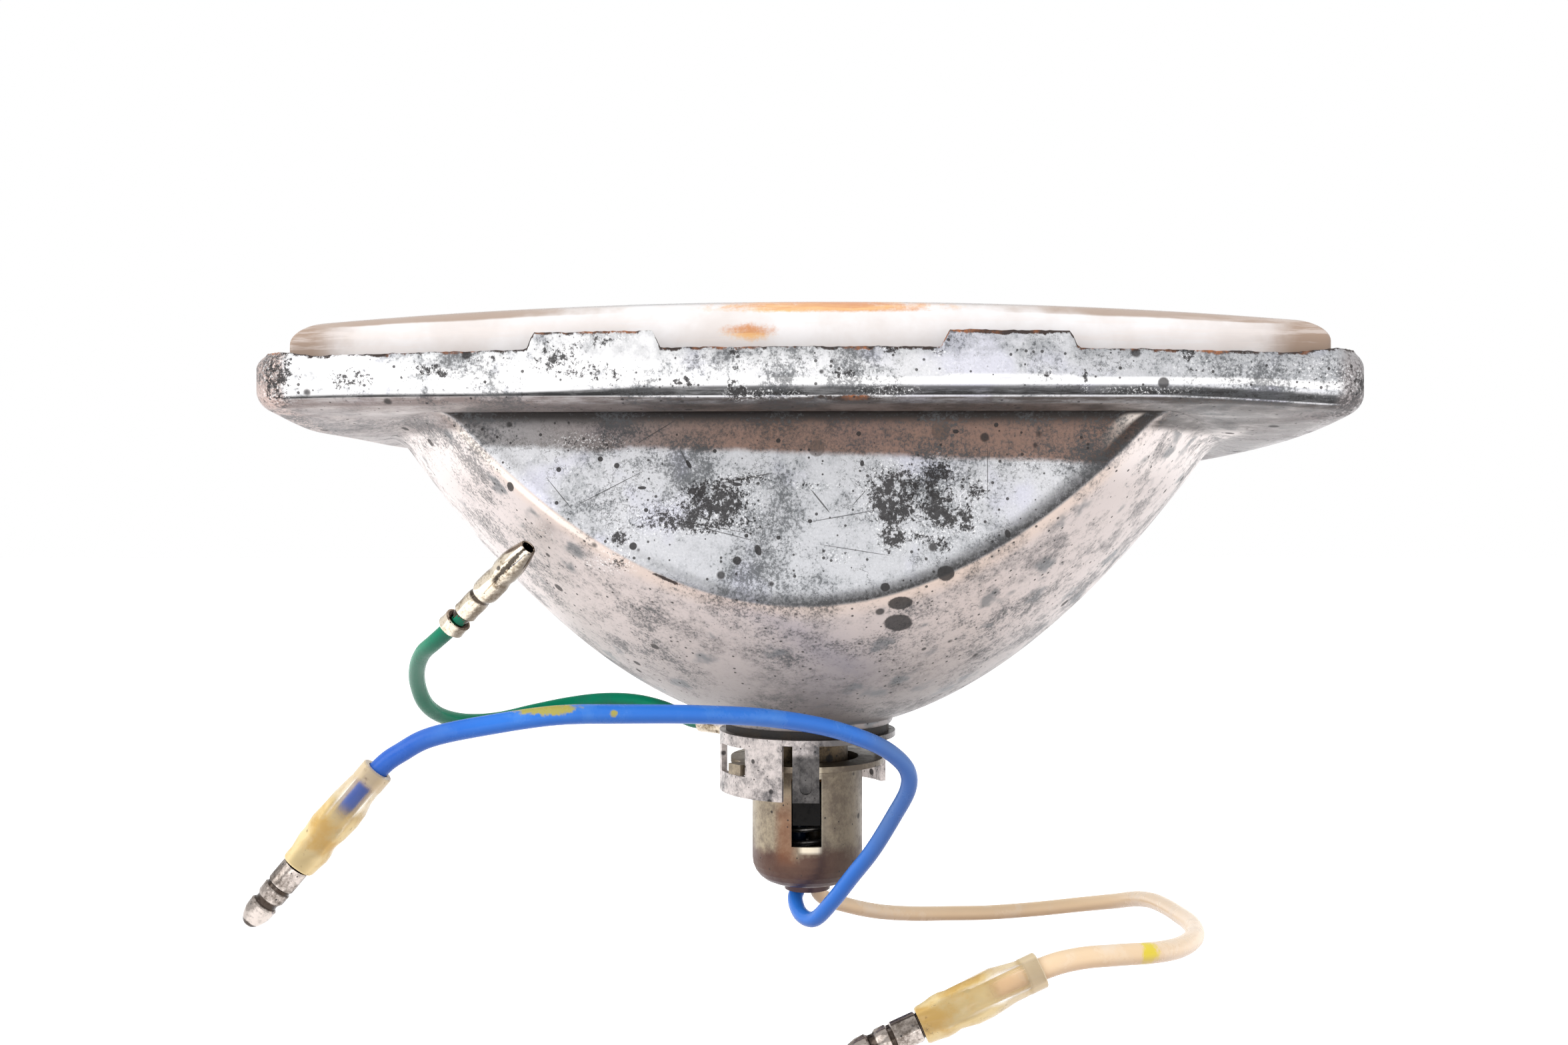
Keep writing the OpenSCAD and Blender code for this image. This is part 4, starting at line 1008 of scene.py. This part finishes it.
for colourName, route in routes.items():
    piece = wirePieces[colourName]
    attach(piece, route["body"])
    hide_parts(colourName + "_wire")
print("stage: wire ends made")


# Carried-over nodes
def heatTintShadeAndGlint(tree, colour, masks):
    # nickel-plated brass round the bulb: straw where warm, brown and plum low down
    where = masks["where"]
    x, y, z = addNode(tree, "SeparateXYZ", [where], "all")
    uneven = addNode(tree, "Math MULTIPLY_ADD", (
        addNode(tree, "TexNoise", (where, 1 / 6, 5, 0.6)), 9, z))
    colour = paint(tree, colour,
        ("#553A32", (uneven, -70.5, -73.5, 0, 0.92)),
        ("#43323A", (uneven, -76, -80, 0, 0.8)))
    # rust climbs beside the keyway, and the barrel darkens towards the right as painted shade
    front = within(tree, (y, -7, -8.5))
    beside = apart(tree, addNode(tree, "Math MULTIPLY_ADD", (masks["clouds"], 3, x)), -2.2)
    colour = paint(tree, colour,
        ("#7E5238", (beside, 2.6, 0.5, 0, 0.7), (z, -63, -71), (z, -80, -76), front),
        ("#3D352E", (x, -1, 8, 0, 0.66)))
    # a painted glint on the keyway's lower edge
    return paint(tree, colour,
        ("#F7EBD2", (apart(tree, x, 0.7), 2.4, 1.2), (z, -76.7, -75.9, 0, 0.85), front))


def tongueTint(tree, colour, masks):
    # the tongue that locates the socket and the ring's right half are dark with soot and painted
    # shade
    x, y, z = addNode(tree, "SeparateXYZ", [masks["where"]], "all")
    tongueSootAndShade = within(tree,
        (addNode(tree, "Math ABSOLUTE", [x]), 2.9, 2.6), (y, -8, -9), (z, -57, -58.5, 0, 0.9))
    ring = within(tree, (z, -58.6, -58.0), (x, -2, 5, 0, 0.85))
    sootAndShade = paint(tree, "#454443", ("#1E1D1D", (masks["clouds"], 0.38, 0.6)))
    return paint(tree, colour, (sootAndShade, addNode(tree, "Math MAXIMUM", (tongueSootAndShade, ring))))


socketMetal = weatheredMetal(
    "nickelledDrawnBrass", "#A59881", "#7C7062", cover=0.48, rough=(0.36, 0.5), speckle=0.76,
    cell=3.0, metallic=0.7, pitShare=0.12, depth=0.02, layers=heatTintShadeAndGlint)
bracketMetal = weatheredMetal("zincPlatedSteel", "#CFC6C2", "#686565", lumps=6, speckle=0.72,
                              rough=(0.34, 0.46), cell=3.0, metallic=0.6, layers=tongueTint)
rivetMetal = weatheredMetal("plainSteelRivet", "#A9A5A0", "#6E6A66", lumps=2)
# dark tarnish, made darker as painted shade for the bulb flange and base that sit in shadow
brassMetal = weatheredMetal(
    "tarnishedShadedBrass", "#5E5140", "#3D342B", lumps=3, rough=(0.4, 0.6))
wireMetal = weatheredMetal("drawnNickelWire", "#B4B1AC", "#8B8884", lumps=1.5)
springMetal = weatheredMetal("coiledSpringSteel", "#8F8C88", "#5F5C59", lumps=2)
bronzeMetal = weatheredMetal("phosphorBronze", "#C98F5A", "#8A6038", lumps=2.5)


def plainMaterial(name, base, worn, rough, ior=1.5, size=3.0, depth=0.08, transmission=0.0):
    # moulded or poured stock with uneven dust and a fine skin
    material, tree = newMaterial(name)
    where = millimetres(tree)
    patch = within(tree, (addNode(tree, "TexNoise", (where, 1 / size, 6, 0.65)), 0.45, 0.65))
    shader = addNode(tree, "BsdfPrincipled", {
        "Base Color": paint(tree, base, (worn, patch)),
        "Roughness": within(tree, (patch, 0, 1, rough, min(rough + 0.15, 1))), "IOR": ior,
        "Transmission Weight": transmission,
        "Normal": addNode(tree, "Bump", {
            "Height": addNode(tree, "TexNoise", (where, 1 / (size / 4), 5, 0.6)),
            "Distance": depth * mm})})
    addNode(tree, "OutputMaterial", [shader])
    return material


gasketRubber = plainMaterial("mouldedGasketRubber", "#1D1A18", "#3A332C", 0.7)
sealant = plainMaterial("curedSealant", "#6A5646", "#8A7460", 0.6)
resin = plainMaterial("mouldedPhenolic", "#1B1A19", "#0D0C0C", 0.6, ior=1.2)
insulator = plainMaterial("firedInsulator", "#3A3230", "#54463C", 0.6)
solder = plainMaterial("castSolder", "#B9B4A8", "#8C877C", 0.35)
bulbGlass = plainMaterial("blownBulbGlass", "#F4F7F7", "#E9EEEE", 0.02, ior=1.47, size=8,
                          depth=0.01, transmission=1.0)
tungsten = plainMaterial("drawnTungsten", "#5A5A5E", "#3F3F43", 0.4)

# The bead between the rim's wall and the lens, rounded where the rim bends:
# inset from the rim's outline, and height
bead = [(3.4, 0.95), (2.1, 1.15), (1.35, 1.7), (1.05, 2.6), (1.0, 3.6), (1.0, 5.2), (1.5, 6.0),
        (2.4, 6.3), (3.5, 6.0), (4.3, 5.4), (4.45, 1.75), (7.2, 1.7), (7.35, 0.95)]
grid = np.array([np.insert(rimLine(inset)[::2], 2, high, 1) for inset, high in bead])
sealantPiece = gridMesh("sealantBead", grid, True, True, sealant, 40)
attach(sealantPiece, "housing")
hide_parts("lens_sealant")

# The spring behind the carrier, and the carrier's travel
spring = dict(wire=0.9, turns=6, travel=2.0, stepsPerTurn=24, sides=12)


def makeSpring():
    # a round wire round a helix that fills the CAD spring's box; its two ends
    # close on a point
    p = spring
    low, high = (np.array(corner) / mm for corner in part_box("contact_spring"))
    half = p["wire"] / 2
    t = np.linspace(0, 1, p["turns"] * p["stepsPerTurn"] + 1)[:, None]
    turn = 2 * math.pi * p["turns"] * t
    around = np.linspace(0, 2 * math.pi, p["sides"], endpoint=False)[None, :]
    thick = half * np.where((t > 0) & (t < 1), 1, 0)
    reach = high[0] - half + thick * np.cos(around)
    z = low[2] + half + (high[2] - low[2] - p["wire"]) * t + thick * np.sin(around)
    return np.stack([reach * np.cos(turn), reach * np.sin(turn), z], -1), low, high


grid, low, high = makeSpring()
springPiece = gridMesh("contactSpringPiece", grid, False, True, springMetal, 60)
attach(springPiece, "socket")
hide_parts("contact_spring")
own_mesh(springPiece)
print("stage: sealant and spring made")

finishes = {
    "socket_shell": socketMetal, "bulb_bracket": bracketMetal, "bracket_rivets": rivetMetal,
    "earth_rivet": rivetMetal, "earth_lug": lugMetal, "bulb_flange": brassMetal,
    "bulb_base": brassMetal, "bulb_glass": bulbGlass, "bulb_insulator": insulator,
    "bulb_contacts": solder, "filament_supports": wireMetal, "hi_filament": tungsten,
    "lo_filament": tungsten, "lo_shield": wireMetal, "contact_carrier": resin,
    "hi_contact": bronzeMetal, "lo_contact": bronzeMetal, "bulb_seat_gasket": gasketRubber,
}
for nodeName, material in finishes.items():
    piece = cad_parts[nodeName]
    piece.data.materials.clear()
    piece.data.materials.append(material)
print("stage: finishes given")


# Floor and light
studio = dict(floorAt=-98.2, floorSize=6000, floorGlow=0.5, key=5.0, fill=0.55, world=1.36)


def seenAtOnce(tree):
    # 1 for rays from the camera, also by way of gloss or glass, and 0 for the rest
    path = addNode(tree, "LightPath", out="all")
    return addNode(tree, "Math MAXIMUM", (
        path["Is Camera Ray"],
        addNode(tree, "Math MAXIMUM", (path["Is Glossy Ray"], path["Is Transmission Ray"]))))


def makeFloor():
    half, z = studio["floorSize"] / 2 * mm, studio["floorAt"] * mm
    mesh = bpy.data.meshes.new("studioFloor")
    mesh.from_pydata([(-half, -half, z), (half, -half, z), (half, half, z), (-half, half, z)],
                     [], [(0, 1, 2, 3)])
    material, tree = newMaterial("paleStudioFloor")
    x = addNode(tree, "SeparateXYZ", [millimetres(tree)], "X")
    diffuse = addNode(tree, "BsdfDiffuse", {
        "Color": paint(tree, "#F5EEEA", ("#E4DEDB", (x, -160, 200)))})
    white = addNode(tree, "BsdfDiffuse", {"Color": "#FFFFFF"})
    glow = addNode(tree, "Emission", {"Color": "#FFFFFF", "Strength": studio["floorGlow"]})
    both = addNode(tree, "AddShader", (white, glow))
    mixed = addNode(tree, "MixShader", (seenAtOnce(tree), diffuse, both))
    addNode(tree, "OutputMaterial", [mixed])
    mesh.materials.append(material)
    floor = bpy.data.objects.new("studioFloor", mesh)
    scene.collection.objects.link(floor)
    floor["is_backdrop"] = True


def makeWorld():
    world = bpy.data.worlds.new("paleStudio")
    scene.world = world
    world.use_nodes = True
    tree = world.node_tree
    tree.nodes.clear()
    direction = addNode(tree, "TexCoord", out="Generated")
    x, y = addNode(tree, "SeparateXYZ", [direction], "all")[:2]
    # bright to the left and behind, dimmer in front and to the right
    shade = paint(tree, "#FFFFFF", ("#DCDCE0", (x, -0.9, 0.9)), ("#B4B4B8", (y, -0.2, -0.9)))
    soft = addNode(tree, "Background", {"Color": shade, "Strength": studio["world"]})
    white = addNode(tree, "Background", {"Color": "#FFFFFF", "Strength": 1.0})
    mixed = addNode(tree, "MixShader", (seenAtOnce(tree), soft, white))
    addNode(tree, "OutputWorld", [mixed])


def makeLamp(name, place, target, size, power):
    data = bpy.data.lights.new(name, "AREA")
    data.shape, data.size, data.size_y = "RECTANGLE", size[0], size[1]
    data.energy = power
    lamp = bpy.data.objects.new(name, data)
    lamp.visible_camera = False
    along, side, up = axisFrame(place, target)
    lamp.matrix_world = Matrix((
        (side[0], up[0], -along[0], place[0]), (side[1], up[1], -along[1], place[1]),
        (side[2], up[2], -along[2], place[2]), (0, 0, 0, 1)))
    scene.collection.objects.link(lamp)


makeFloor()
makeWorld()
makeLamp("keySoftbox", (-0.9, -0.9, 0.6), (0, 0, -0.03), (0.9, 0.9), studio["key"])
makeLamp("frontStrip", (0.3, -0.8, -0.07), (0, -0.05, 0), (1.2, 0.05), studio["fill"])
scene.view_settings.view_transform = "Standard"
print("stage: studio made")

low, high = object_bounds()
